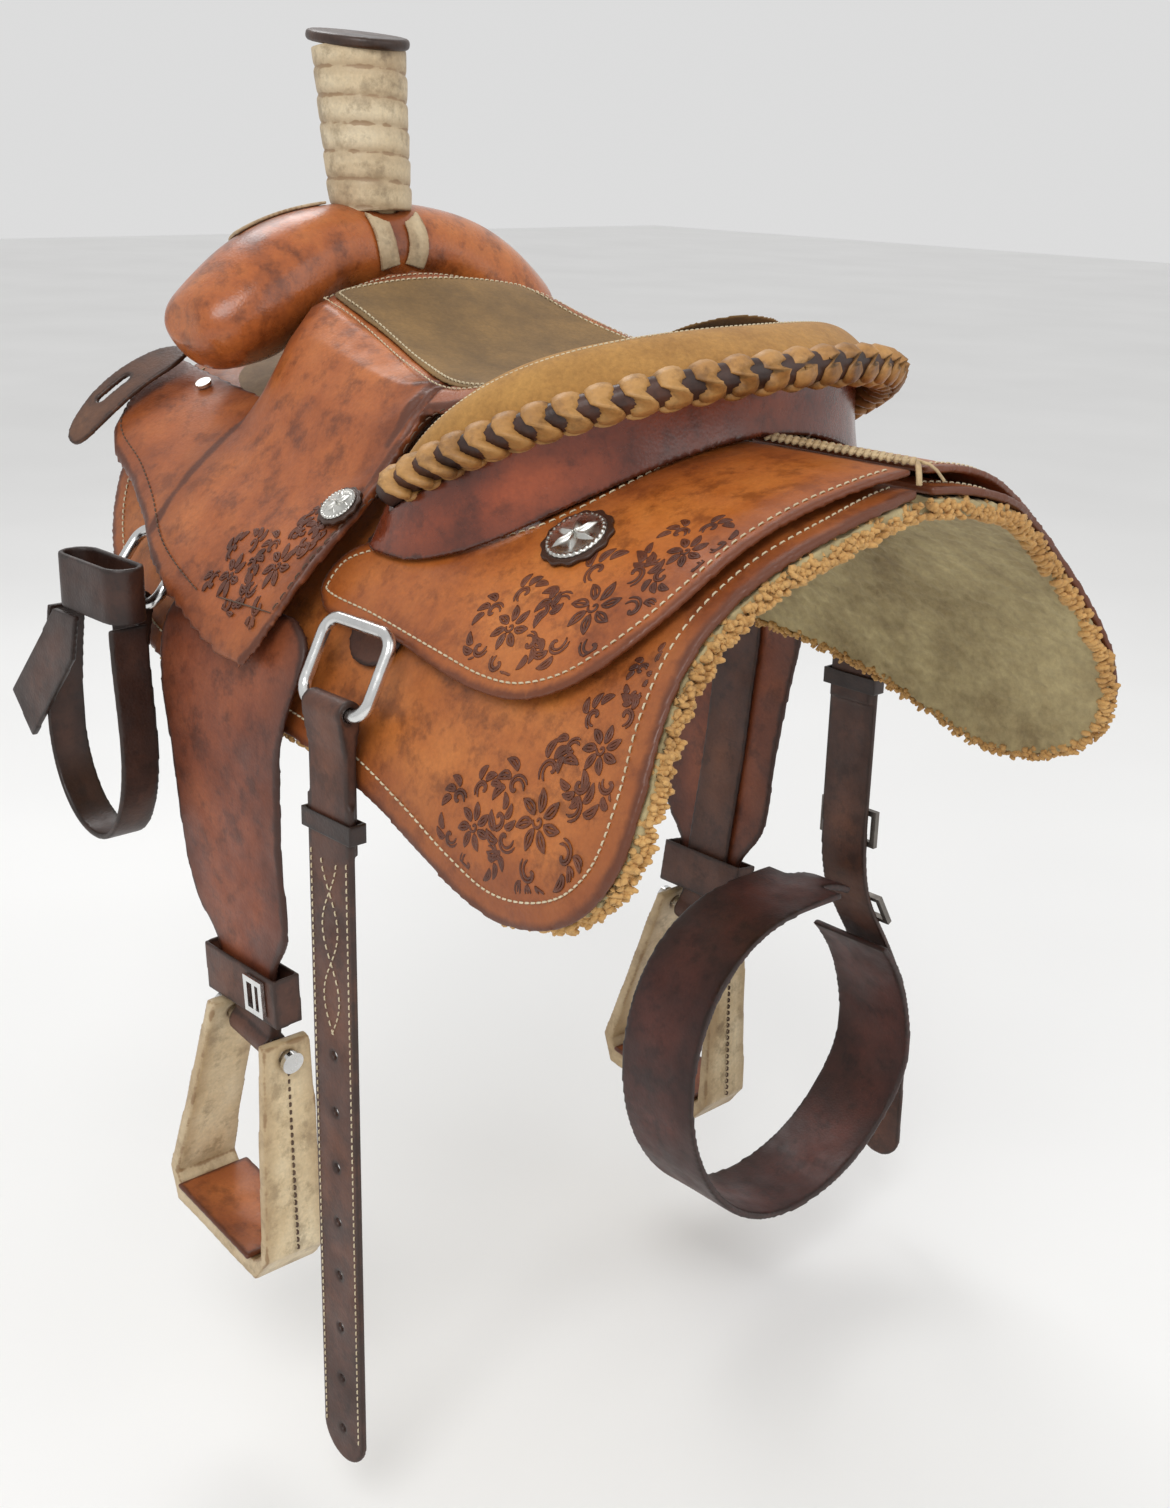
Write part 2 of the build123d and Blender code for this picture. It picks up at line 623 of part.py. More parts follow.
def make_rigging(side_name, side):
    """Dees, billet and keeper of one side, made on the left and mirrored for the right."""
    def put(name, shape):
        keep(name + "_" + side_name, shape if side > 0 else shape.mirror(Plane.XZ))

    put("rear_dee", dee(REAR_DEE_X, *DEE_TOP, *DEE_BOTTOM))
    put("front_dee", dee(FRONT_DEE_X, *FRONT_DEE_TOP, *FRONT_DEE_BOTTOM))
    billet = flank_billet(side_name)
    for k in range(BILLET_HOLES):
        if side_name == "left":
            z = BILLET_FIRST_HOLE_Z - k * BILLET_HOLE_PITCH
            punch = Pos(0, BILLET_TAIL["left"][0][0], z) * Rot(90, 0, 0)
            billet = billet - punch * Cylinder(BILLET_HOLE_RADIUS, 40)
    x = REAR_DEE_X
    put("flank_billet", Pos(x, 0, 0) * billet)
    outer = Box(BILLET_WIDTH + 7, 2 * BILLET_THICKNESS + 5, 14)
    inner = Box(BILLET_WIDTH + 1, 2 * BILLET_THICKNESS + 1.2, 20)
    put("billet_keeper", Pos(x, DEE_BOTTOM[0], KEEPER_Z) * (outer - inner))


def make_flank_cinch():
    """Wide cinch in a loop, both ends buckled to the right billet, and its two buckles."""
    band = strip(CINCH_PATH, CINCH_THICKNESS, Plane.YZ, CINCH_WIDTH)
    x = REAR_DEE_X
    narrow = Pos(0, 276, -380) * Box(CINCH_WIDTH + 2, 100, 150)
    slim = Pos(0, 276, -380) * Box(STRAP_WIDTH, 101, 151)
    band = band - (narrow - slim)
    keep("flank_cinch", (Pos(x, 0, 0) * band).mirror(Plane.XZ))
    ring = Box(62, 5, 34) - Box(52, 8, 24)
    upper = Pos(x, 282.8, -352) * ring
    lower = Pos(x, 305.5, -436) * Rot(31, 0, 0) * ring
    keep("cinch_buckles", Compound(children=[upper.mirror(Plane.XZ), lower.mirror(Plane.XZ)]))


def make_latigo():
    """Latigo tied on the left front dee, and the plain off billet on the right one."""
    fold = Pos(LATIGO_X, 0, 0) * folded_strap(LATIGO_WIDTH, FRONT_DEE_BOTTOM, -152)
    loop = strip(LATIGO_LOOP, LATIGO_THICKNESS, Plane.XZ, LATIGO_LOOP_WIDTH)
    loop = Pos(0, LATIGO_LOOP_Y, 0) * loop
    keep("latigo", fold)
    keep("latigo_loop", loop)
    (x0, x1), (y0, y1), (z0, z1) = KNOT["x"], KNOT["y"], KNOT["z"]
    outer = RectangleRounded(x1 - x0, y1 - y0, (y1 - y0) / 2 - 0.1)
    inner_width = y1 - y0 - 2 * LATIGO_THICKNESS
    inner = RectangleRounded(x1 - x0 - 2 * LATIGO_THICKNESS, inner_width, inner_width / 2 - 0.1)
    ring = extrude(outer - inner, z1 - z0)
    keep("latigo_knot", Pos((x0 + x1) / 2, (y0 + y1) / 2, z0) * ring)
    tail = extrude(Plane.XZ * make_face(Polyline(*LATIGO_TAIL, close=True)), LATIGO_THICKNESS, dir=(0, 1, 0))
    keep("latigo_tail", Pos(0, LATIGO_LOOP_Y + LATIGO_LOOP_WIDTH / 2 + GAP, 0) * tail)
    off = Pos(LATIGO_X, 0, 0) * folded_strap(LATIGO_WIDTH, FRONT_DEE_BOTTOM, -330)
    keep("off_billet", off.mirror(Plane.XZ))
    keeper = sheet(KEEPER_OUTLINE, KEEPER_LAYER)
    slot = Plane(origin=on_back(286, 176, 30), z_dir=normal_at(286, 176), x_dir=(0.3, 0.6, -0.7))
    keep("latigo_keeper", keeper - slot * extrude(SlotOverall(34, 9), 40))


def fender_path(side_name, offset):
    """Side profile of the fender as (y, z), bent over the skirt and then hanging."""
    lean = sin(radians(FENDER_LEAN[side_name]))
    path = [(y + offset, z) for y, z in FENDER_PROFILE]
    for z in (-215, -260, -320, -396):
        path.append((FENDER_STRAIGHT_Y + offset - lean * (FENDER_LEAN_Z - z), z))
    return path


def fender_y(side_name, z):
    """Middle of the fender and leather stack at height z on the hanging part."""
    return FENDER_STRAIGHT_Y - sin(radians(FENDER_LEAN[side_name])) * (FENDER_LEAN_Z - z)


def stretched(path, drop):
    """Lower part of a side profile moved down by a longer stirrup leather."""
    return [(y, z + drop * min(max((-140 - z) / 120, 0), 1)) for y, z in path]


def make_stirrup_side(side_name, side):
    """Fender, stirrup leather, hobble strap and stirrup of one side."""
    def put(name, shape):
        keep(name + "_" + side_name, shape if side > 0 else shape.mirror(Plane.XZ))

    drop = FENDER_DROP[side_name]
    outer = stretched(fender_path(side_name, FENDER_THICKNESS / 2 + GAP), drop)
    shape = strip(outer, FENDER_THICKNESS, Plane.YZ, 220)
    outline = stretched(FENDER_OUTLINE, drop)
    put("fender", shape & prism_along((0, 1, 0), [(x, 0, z) for x, z in outline]))

    bolt_z = STIRRUP_BOLT_Z + drop
    bolt_y = fender_y(side_name, STIRRUP_BOLT_Z)
    inner = stretched(fender_path(side_name, -LEATHER_THICKNESS / 2 - GAP), drop)
    leather = Pos(STIRRUP_BOLT_X, 0, 0) * strip(inner, LEATHER_THICKNESS, Plane.YZ, LEATHER_WIDTH)
    bore = Cylinder(STIRRUP_BOLT_RADIUS + 0.1, LEATHER_WIDTH + 2)
    ring = Rot(0, 90, 0) * (Cylinder(11.0, LEATHER_WIDTH) - bore)
    end_y, end_z = inner[-1]
    neck = Polyline(
        (end_y - 2, end_z + 2), (end_y + 2, end_z + 2), (bolt_y + 6, bolt_z + 9), (bolt_y - 6, bolt_z + 9),
        close=True,
    )
    neck = extrude(Plane.YZ * make_face(neck), LEATHER_WIDTH / 2, dir=(1, 0, 0), both=True)
    clear = Pos(0, bolt_y, bolt_z) * Rot(0, 90, 0) * Cylinder(STIRRUP_BOLT_RADIUS + 0.1, LEATHER_WIDTH + 2)
    tilt = Pos(STIRRUP_BOLT_X, bolt_y, bolt_z) * Rot(0, -STIRRUP_TILT, 0)
    loop = tilt * (ring + (Pos(0, -bolt_y, -bolt_z) * (neck - clear)))
    put("stirrup_leather", leather + loop)

    hobble_y = fender_y(side_name, HOBBLE_Z)
    hobble = Box(HOBBLE_WIDTH, 23, HOBBLE_HEIGHT) - Box(HOBBLE_WIDTH - 5, 18, HOBBLE_HEIGHT + 2)
    lean = Rot(-FENDER_LEAN[side_name], 0, 0)
    put("hobble_strap", Pos(STIRRUP_BOLT_X, hobble_y, HOBBLE_Z + drop) * lean * hobble)
    frame = Box(24, 3, 30) - Box(15, 5, 21) + Cylinder(1.6, 30)
    buckle_x = STIRRUP_BOLT_X - HOBBLE_WIDTH * 0.25
    put("hobble_buckle", Pos(buckle_x, hobble_y + 13.9, HOBBLE_Z + drop) * lean * frame)

    top, bottom = STIRRUP_TOP_HALF, STIRRUP_BOTTOM_HALF
    height, wall = STIRRUP_HEIGHT, STIRRUP_WALL
    outside = Polyline(
        (-top, 13), (top, 13), (bottom, -height + 26), (bottom - 14, -height), (-bottom + 14, -height),
        (-bottom, -height + 26), close=True,
    )
    floor_z = -height + STIRRUP_TREAD_HEIGHT
    inside = Polyline(
        (-top + wall, 20), (top - wall, 20), (bottom - wall, floor_z + 8), (bottom - wall - 8, floor_z),
        (-bottom + wall + 8, floor_z), (-bottom + wall, floor_z + 8), close=True,
    )
    profile = Plane.XZ * (make_face(outside) - make_face(inside))
    block = extrude(profile, 40, both=True)
    side_view = Plane.YZ * make_face(Polyline(
        (-STIRRUP_DEPTH_TOP / 2, 14), (STIRRUP_DEPTH_TOP / 2, 14),
        (STIRRUP_DEPTH_BOTTOM / 2, -height - 1), (-STIRRUP_DEPTH_BOTTOM / 2, -height - 1), close=True,
    ))
    block = block & extrude(side_view, 120, both=True)
    block = block - Rot(0, 90, 0) * Cylinder(STIRRUP_BOLT_RADIUS + 0.1, 200)
    put("stirrup", tilt * block)
    length = 2 * (bottom - wall - 9)
    tread = Pos(0, 0, floor_z + 2.6) * Box(length, STIRRUP_DEPTH_BOTTOM + 8, 4)
    put("stirrup_tread", tilt * tread)
    head = Rot(0, 90, 0) * Cylinder(9, 4)
    bolt = Rot(0, 90, 0) * Cylinder(STIRRUP_BOLT_RADIUS, 2 * top + 11)
    put("stirrup_bolt", tilt * (bolt + Pos(top + 7.5, 0, 0) * head + Pos(-top - 7.5, 0, 0) * head))


def main():
    """Build every node and write one STEP file for each."""
    make_tree()
    make_cantle()
    make_seat()
    make_back_leathers()
    make_conchos()
    for side_name, side in SIDES.items():
        make_rigging(side_name, side)
        make_stirrup_side(side_name, side)
    make_flank_cinch()
    make_latigo()
    os.makedirs("parts", exist_ok=True)
    for name, shape in NODES.items():
        export_step(shape, "parts/" + name + ".step")


if __name__ == "__main__":
    main()
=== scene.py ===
import json
import random
from math import atan2, cos, hypot, pi, radians, sin, sqrt

import bmesh
import bpy
import numpy as np
from mathutils import Matrix, Vector, kdtree, noise

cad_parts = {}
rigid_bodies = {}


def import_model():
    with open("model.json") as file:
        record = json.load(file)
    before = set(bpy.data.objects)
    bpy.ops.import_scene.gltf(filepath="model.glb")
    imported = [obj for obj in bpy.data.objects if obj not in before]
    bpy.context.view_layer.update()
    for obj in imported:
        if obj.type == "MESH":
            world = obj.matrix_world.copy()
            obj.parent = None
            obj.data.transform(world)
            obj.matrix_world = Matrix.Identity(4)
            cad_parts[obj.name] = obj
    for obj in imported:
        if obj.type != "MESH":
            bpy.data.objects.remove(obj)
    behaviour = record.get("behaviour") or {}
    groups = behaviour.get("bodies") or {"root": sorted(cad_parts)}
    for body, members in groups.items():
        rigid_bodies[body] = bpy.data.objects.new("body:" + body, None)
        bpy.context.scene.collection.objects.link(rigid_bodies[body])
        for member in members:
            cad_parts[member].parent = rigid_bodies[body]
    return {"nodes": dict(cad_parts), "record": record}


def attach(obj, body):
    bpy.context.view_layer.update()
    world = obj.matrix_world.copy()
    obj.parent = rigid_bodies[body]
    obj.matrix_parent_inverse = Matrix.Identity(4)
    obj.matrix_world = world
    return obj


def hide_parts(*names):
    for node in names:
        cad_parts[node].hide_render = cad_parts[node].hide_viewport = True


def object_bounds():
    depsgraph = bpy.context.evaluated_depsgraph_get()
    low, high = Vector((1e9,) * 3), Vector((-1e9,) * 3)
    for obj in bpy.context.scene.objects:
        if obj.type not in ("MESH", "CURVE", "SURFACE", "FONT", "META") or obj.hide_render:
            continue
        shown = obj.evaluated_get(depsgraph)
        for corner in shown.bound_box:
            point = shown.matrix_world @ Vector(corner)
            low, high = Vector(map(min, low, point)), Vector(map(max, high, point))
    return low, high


# Western saddle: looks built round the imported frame. The layout tables below repeat the CAD's
# driving sizes in millimetres; MM turns every point into metres as a mesh is made.
MM = 0.001

BACK_HALF_WIDTH = 252.0
BACK_DEPTH = 240.0
BACK_GIRTH_RADIUS = 246.0
SKIRT_TOP = 20.0
JOCKEY_TOP = 32.0
SEAT_TOP = 9.0
SEAT_OFFSET = 34.0
SEAT_SPREAD = 48.0
SEAT_DROP = 250.0

SKIRT_OUTLINE = [
    (-392, 7), (-397, 74), (-384, 135), (-379, 186), (-386, 236), (-395, 280), (-391, 325),
    (-368, 357), (-331, 375), (-288, 380), (-242, 369), (-192, 352), (-130, 335), (-50, 325),
    (50, 321), (140, 313), (205, 293), (258, 252), (290, 196), (305, 130), (311, 65), (312, 7),
]
JOCKEY_OUTLINE = [
    (-386, 7), (-383, 51), (-375, 90), (-367, 125), (-361, 162), (-347, 199), (-319, 234),
    (-284, 252), (-246, 256), (-193, 251), (-121, 243), (-62, 238), (-50, 225), (-56, 200),
    (-90, 182), (-140, 168), (-195, 146), (-222, 110), (-232, 60), (-234, 7),
]
INLAY_PLAN = [(-196, 88), (-150, 118), (-84, 128), (-20, 116), (50, 102), (100, 98), (118, 90), (122, 60)]
SEAT_EDGE_RUN = [
    (-96, 160), (-80, 168), (-74, 182), (-71, 198), (-66, 214), (-60, 236), (-54, 258), (-48, 273),
    (-36, 283), (-14, 282), (36, 277), (86, 269), (124, 259), (160, 243), (206, 227), (248, 217),
    (268, 206), (280, 182), (287, 152), (290, 126),
]
SEAT_CENTRE = [
    (-240, 106), (-214, 90), (-180, 63), (-140, 49), (-90, 45), (-30, 50), (30, 66), (90, 90),
    (130, 106), (165, 112), (300, 60),
]
SEAT_EDGE = [
    (-240, 112), (-200, 88), (-150, 66), (-86, 50), (-20, 58), (50, 76), (95, 88), (122, 86),
    (150, 52), (172, 32), (205, 22), (240, 16), (300, 12),
]
SEAT_TOP_HALF = [(-240, 150), (-86, 150), (0, 134), (80, 120), (126, 116), (235, 116), (300, 110)]
SEAT_TURN_WIDTH = [(-240, 60), (-86, 62), (0, 86), (80, 96), (126, 84), (200, 44), (300, 40)]
CREST = [(-232, 0, 107), (-232, 110, 107), (-168, 200, 98), (-86, 178, 2)]
SHELF = [(-292, 0, 88), (-292, 134, 88), (-200, 228, 52), (-80, 195, -12)]
LACE_RADIUS = 11.0
ROLL_THICKNESS = 9.0
HORN_BASE = Vector((192.0, 0.0, 160.0))
HORN_TOP = Vector((206.0, 0.0, 283.0))
WRAP_RADIUS_LOW = 33.0
WRAP_RADIUS_HIGH = 37.5
WRAP_HEIGHT = 129.0
REAR_CONCHO = (-247.0, 151.0)
TIP_CONCHO = (-52.0, 206.0)
BILLET_X = -130.0
BILLET_FACE_Y = 278.7

for leftover in list(bpy.data.objects):
    bpy.data.objects.remove(leftover)
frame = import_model()
cad_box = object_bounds()
random.seed(7)


def between(table, x):
    """Smooth value at x of a table of (x, value) pairs."""
    if x <= table[0][0]:
        return table[0][1]
    if x >= table[-1][0]:
        return table[-1][1]
    i = max(k for k in range(len(table) - 1) if table[k][0] <= x)
    (x0, v0), (x1, v1) = table[i], table[i + 1]
    before = table[max(i - 1, 0)]
    after = table[min(i + 2, len(table) - 1)]
    slope0 = (v1 - before[1]) / (x1 - before[0])
    slope1 = (after[1] - v0) / (after[0] - x0)
    t = (x - x0) / (x1 - x0)
    span = x1 - x0
    return (
        (2 * t**3 - 3 * t**2 + 1) * v0
        + (t**3 - 2 * t**2 + t) * span * slope0
        + (3 * t**2 - 2 * t**3) * v1
        + (t**3 - t**2) * span * slope1
    )


def ridge(x):
    return 35.0 * (max(x, 0.0) / 300.0) ** 2


def half_width(x):
    along = min(max((x - 60.0) / 240.0, 0.0), 1.3)
    return BACK_HALF_WIDTH - 22.0 * along**1.5


def on_back(x, down, off):
    """Point `down` the left side from the midline and `off` out from the back."""
    angle = down / BACK_GIRTH_RADIUS
    a = half_width(x)
    ny = BACK_DEPTH * sin(angle)
    nz = a * cos(angle)
    length = hypot(ny, nz)
    return Vector((
        x, a * sin(angle) + off * ny / length,
        ridge(x) + BACK_DEPTH * (cos(angle) - 1) + off * nz / length,
    ))


def seat_z(x, y):
    """Height of the underside of the seat leather."""
    y = abs(y)
    centre = between(SEAT_CENTRE, x)
    edge = between(SEAT_EDGE, x)
    top_half = between(SEAT_TOP_HALF, x)
    turn = between(SEAT_TURN_WIDTH, x)
    top = centre + (edge - centre) * (y / top_half) ** 2
    a = half_width(x) + SEAT_SPREAD
    side = ridge(x) + SEAT_OFFSET - SEAT_DROP * (1 - sqrt(max(1 - (y / a) ** 2, 0.0)))
    t = min(max((y - top_half * 0.86) / turn, 0.0), 1.0)
    blend = t * t * (3 - 2 * t)
    return top * (1 - blend) + side * blend


def on_seat(x, y, lift):
    """Point `lift` off the top of the seat leather."""
    here = Vector((x, y, seat_z(x, y) + SEAT_TOP))
    along = Vector((x + 1, y, seat_z(x + 1, y) + SEAT_TOP)) - here
    across = Vector((x, y + 1, seat_z(x, y + 1) + SEAT_TOP)) - here
    return here + along.cross(across).normalized() * lift


def cubic(points, t):
    weights = ((1 - t) ** 3, 3 * (1 - t) ** 2 * t, 3 * (1 - t) * t**2, t**3)
    return Vector([sum(w * p[i] for w, p in zip(weights, points)) for i in range(3)])


def mirrored_curve(points, u):
    point = cubic(points, abs(u))
    return point if u >= 0 else Vector((point.x, -point.y, point.z))


def roll_frame(u):
    """Crest point, outward, upward and along directions, and width of the roll at u."""
    crest = mirrored_curve(CREST, u)
    shelf = mirrored_curve(SHELF, u)
    step = 0.01 if u < 0.5 else -0.01
    ahead = mirrored_curve(CREST, u + step) + mirrored_curve(SHELF, u + step)
    along = ((ahead - crest - shelf) * (1 if step > 0 else -1)).normalized()
    across = shelf - crest
    across = across - along * across.dot(along)
    out = across.normalized()
    return crest, out, along.cross(out), along, across.length


# ---------------------------------------------------------------- materials


class Graph:
    """A material's node tree with short calls for the nodes used here."""

    def __init__(self, name, roughness, metallic=0.0):
        self.material = bpy.data.materials.new(name)
        self.material.use_nodes = True
        self.tree = self.material.node_tree
        self.shader = self.tree.nodes["Principled BSDF"]
        self.shader.inputs["Roughness"].default_value = roughness
        self.shader.inputs["Metallic"].default_value = metallic
        self.place = self.add("ShaderNodeTexCoord").outputs["Object"]
        self.height = None

    def add(self, kind, **settings):
        node = self.tree.nodes.new(kind)
        for key, value in settings.items():
            setattr(node, key, value)
        return node

    def link(self, source, target):
        self.tree.links.new(source, target)

    def noise(self, scale, detail=4.0, rough=0.55, stretch=None):
        node = self.add("ShaderNodeTexNoise")
        node.inputs["Scale"].default_value = scale
        node.inputs["Detail"].default_value = detail
        node.inputs["Roughness"].default_value = rough
        place = self.place
        if stretch:
            mapping = self.add("ShaderNodeMapping")
            mapping.inputs["Scale"].default_value = stretch
            self.link(place, mapping.inputs["Vector"])
            place = mapping.outputs["Vector"]
        self.link(place, node.inputs["Vector"])
        return node.outputs["Fac"]

    def cells(self, scale, feature="F1"):
        node = self.add("ShaderNodeTexVoronoi", feature=feature)
        node.inputs["Scale"].default_value = scale
        self.link(self.place, node.inputs["Vector"])
        return node.outputs["Distance"]

    def scaled(self, value, low, high, to_low, to_high):
        node = self.add("ShaderNodeMapRange")
        for key, number in zip(("From Min", "From Max", "To Min", "To Max"), (low, high, to_low, to_high)):
            node.inputs[key].default_value = number
        self.link(value, node.inputs["Value"])
        return node.outputs["Result"]

    def ramp(self, value, stops):
        node = self.add("ShaderNodeValToRGB")
        while len(node.color_ramp.elements) < len(stops):
            node.color_ramp.elements.new(0.5)
        for element, (position, colour) in zip(node.color_ramp.elements, stops):
            element.position = position
            element.color = (*colour, 1)
        self.link(value, node.inputs["Fac"])
        return node.outputs["Color"]

    def mixed(self, factor, a, b, blend="MIX"):
        node = self.add("ShaderNodeMix", data_type="RGBA", blend_type=blend)
        for socket, value in ((node.inputs["Factor"], factor), (node.inputs["A"], a), (node.inputs["B"], b)):
            if isinstance(value, (int, float)):
                socket.default_value = value
            elif isinstance(value, tuple):
                socket.default_value = (*value, 1)
            else:
                self.link(value, socket)
        return node.outputs["Result"]

    def bump(self, value, strength, distance):
        node = self.add("ShaderNodeBump")
        node.inputs["Strength"].default_value = strength
        node.inputs["Distance"].default_value = distance
        self.link(value, node.inputs["Height"])
        if self.height:
            self.link(self.height, node.inputs["Normal"])
        self.height = node.outputs["Normal"]
        self.link(self.height, self.shader.inputs["Normal"])


def leather(name, light, mid, dark, rim=None, rim_width=0.006, gloss=0.38, grain=420.0, coat=0.0):
    """Oiled, handled leather: mottled colour, dark patches, fine grain and a burnished rim."""
    g = Graph(name, gloss)
    broad = g.noise(11.0, 7.0, 0.62)
    colour = g.ramp(broad, [(0.30, dark), (0.47, mid), (0.66, light)])
    spots = g.ramp(g.noise(46.0, 5.0, 0.7), [(0.36, tuple(c * 0.45 for c in dark)), (0.50, (1, 1, 1))])
    colour = g.mixed(0.45, colour, spots, "MULTIPLY")
    fine = g.ramp(g.noise(300.0, 3.0, 0.6), [(0.3, (0.72, 0.72, 0.72)), (0.7, (1.12, 1.1, 1.05))])
    colour = g.mixed(0.5, colour, fine, "MULTIPLY")
    if rim is not None:
        edge = g.add("ShaderNodeAttribute", attribute_name="edge").outputs["Fac"]
        wobble = g.scaled(g.noise(60.0, 3.0), 0.3, 0.7, -0.0015, 0.0015)
        total = g.add("ShaderNodeMath", operation="ADD")
        g.link(edge, total.inputs[0])
        g.link(wobble, total.inputs[1])
        near = g.scaled(total.outputs[0], rim_width * 0.45, rim_width, 1.0, 0.0)
        colour = g.mixed(near, colour, rim)
        wide = g.scaled(edge, rim_width, rim_width * 6, 0.55, 0.0)
        colour = g.mixed(wide, colour, dark)
    g.link(colour, g.shader.inputs["Base Color"])
    g.link(g.scaled(g.noise(35.0, 5.0), 0.3, 0.7, gloss - 0.1, gloss + 0.14), g.shader.inputs["Roughness"])
    if coat:
        g.shader.inputs["Coat Weight"].default_value = coat
        g.shader.inputs["Coat Roughness"].default_value = 0.22
    g.bump(g.noise(26.0, 4.0, 0.6), 0.35, 0.0012)
    g.bump(g.cells(grain), 0.28, 0.0004)
    return g.material


def napped(name, light, dark, scale=260.0, rough=0.92):
    """Brushed suede, rough-out or wool: matt with a fine nap."""
    g = Graph(name, rough)
    colour = g.ramp(g.noise(16.0, 8.0, 0.7), [(0.3, dark), (0.68, light)])
    fine = g.ramp(g.noise(scale, 4.0, 0.7), [(0.3, (0.7, 0.68, 0.64)), (0.72, (1.15, 1.12, 1.06))])
    g.link(g.mixed(0.7, colour, fine, "MULTIPLY"), g.shader.inputs["Base Color"])
    g.shader.inputs["Sheen Weight"].default_value = 0.06
    g.bump(g.noise(scale, 5.0, 0.75), 0.5, 0.0010)
    return g.material


def metal(name, colour, rough, mark=0.25):
    """Plated or cast metal with light scratches and dull patches."""
    g = Graph(name, rough, 1.0)
    tint = g.ramp(g.noise(38.0, 6.0), [(0.3, tuple(c * (1 - mark) for c in colour)), (0.7, colour)])
    g.link(tint, g.shader.inputs["Base Color"])
    g.link(g.scaled(g.noise(120.0, 4.0), 0.3, 0.7, rough, rough + 0.2), g.shader.inputs["Roughness"])
    g.bump(g.noise(420.0, 2.0), 0.08, 0.0002)
    return g.material


DARK_RIM = (0.018, 0.008, 0.004)
CHESTNUT = leather("chestnut", (0.46, 0.140, 0.036), (0.35, 0.092, 0.022), (0.17, 0.040, 0.011), DARK_RIM, 0.005, 0.42)
SWELL = leather("swell", (0.52, 0.165, 0.038), (0.38, 0.100, 0.022), (0.14, 0.032, 0.009), DARK_RIM, 0.004, 0.27, 420, 0.2)
CANTLE = leather("cantle", (0.34, 0.070, 0.020), (0.22, 0.042, 0.013), (0.09, 0.018, 0.007), DARK_RIM, 0.004, 0.24, 420, 0.3)
ORANGE = leather("orange", (0.56, 0.185, 0.038), (0.44, 0.125, 0.023), (0.24, 0.056, 0.012), DARK_RIM, 0.007, 0.40)
SKIRTING = leather("skirting", (0.50, 0.165, 0.036), (0.39, 0.112, 0.022), (0.19, 0.045, 0.011), DARK_RIM, 0.008, 0.44)
FENDER = leather("fender", (0.30, 0.082, 0.030), (0.19, 0.046, 0.017), (0.065, 0.017, 0.008), DARK_RIM, 0.006, 0.45)
TOOLED = leather("tooled", (0.17, 0.048, 0.016), (0.11, 0.028, 0.010), (0.05, 0.013, 0.006), None, 0, 0.42)
BILLET = leather("billet", (0.17, 0.062, 0.030), (0.095, 0.034, 0.019), (0.042, 0.017, 0.011), DARK_RIM, 0.0035, 0.5)
DARK = leather("dark_strap", (0.085, 0.032, 0.018), (0.045, 0.017, 0.010), (0.016, 0.007, 0.005), DARK_RIM, 0.003, 0.42)
CAP = leather("horn_cap_leather", (0.10, 0.045, 0.022), (0.05, 0.022, 0.012), (0.02, 0.010, 0.006), (0.30, 0.17, 0.06), 0.0022, 0.4)
BURGUNDY = leather("burgundy", (0.12, 0.030, 0.020), (0.065, 0.018, 0.013), (0.028, 0.010, 0.008), DARK_RIM, 0.004, 0.48)
ROSETTE = leather("rosette_leather", (0.25, 0.10, 0.035), (0.15, 0.05, 0.018), (0.06, 0.02, 0.008), DARK_RIM, 0.002, 0.4)
KEEPER = leather("keeper_leather", (0.20, 0.085, 0.035), (0.12, 0.045, 0.018), (0.05, 0.018, 0.008), DARK_RIM, 0.003, 0.4)
LACE = leather("lace", (0.52, 0.29, 0.10), (0.42, 0.21, 0.06), (0.20, 0.09, 0.025), None, 0, 0.5)
PALE_LACE = leather("pale_lace", (0.62, 0.48, 0.28), (0.48, 0.34, 0.18), (0.26, 0.16, 0.08), None, 0, 0.55)
HIDE = leather("mulehide", (0.72, 0.62, 0.44), (0.60, 0.48, 0.31), (0.36, 0.25, 0.14), (0.24, 0.14, 0.07), 0.0012, 0.5)
RAWHIDE = leather("rawhide", (0.74, 0.62, 0.42), (0.62, 0.48, 0.29), (0.36, 0.24, 0.12), (0.20, 0.11, 0.05), 0.0022, 0.42)
ROUGHOUT = napped("roughout", (0.50, 0.27, 0.075), (0.30, 0.145, 0.036))
SUEDE = napped("suede", (0.27, 0.155, 0.050), (0.13, 0.075, 0.026), 320.0)
GOLDEN_WOOL = napped("golden_wool", (0.66, 0.40, 0.15), (0.42, 0.22, 0.07), 420.0)
KHAKI_WOOL = napped("khaki_wool", (0.50, 0.42, 0.23), (0.22, 0.165, 0.08), 130.0)
THREAD = napped("thread", (0.74, 0.66, 0.48), (0.52, 0.42, 0.27), 900.0, 0.8)
DARK_THREAD = napped("dark_thread", (0.12, 0.07, 0.04), (0.06, 0.03, 0.02), 900.0, 0.8)
WOOD = napped("tree_wood", (0.5, 0.36, 0.2), (0.34, 0.22, 0.12), 120.0, 0.7)
CHROME = metal("chrome_wire", (0.78, 0.78, 0.77), 0.14)
SILVER = metal("silver", (0.80, 0.79, 0.74), 0.20, 0.45)
IRON = metal("dark_iron", (0.22, 0.20, 0.18), 0.42)

BODY_OF = {node: body for body, nodes in frame["record"]["behaviour"]["bodies"].items() for node in nodes}


# ---------------------------------------------------------------- mesh helpers


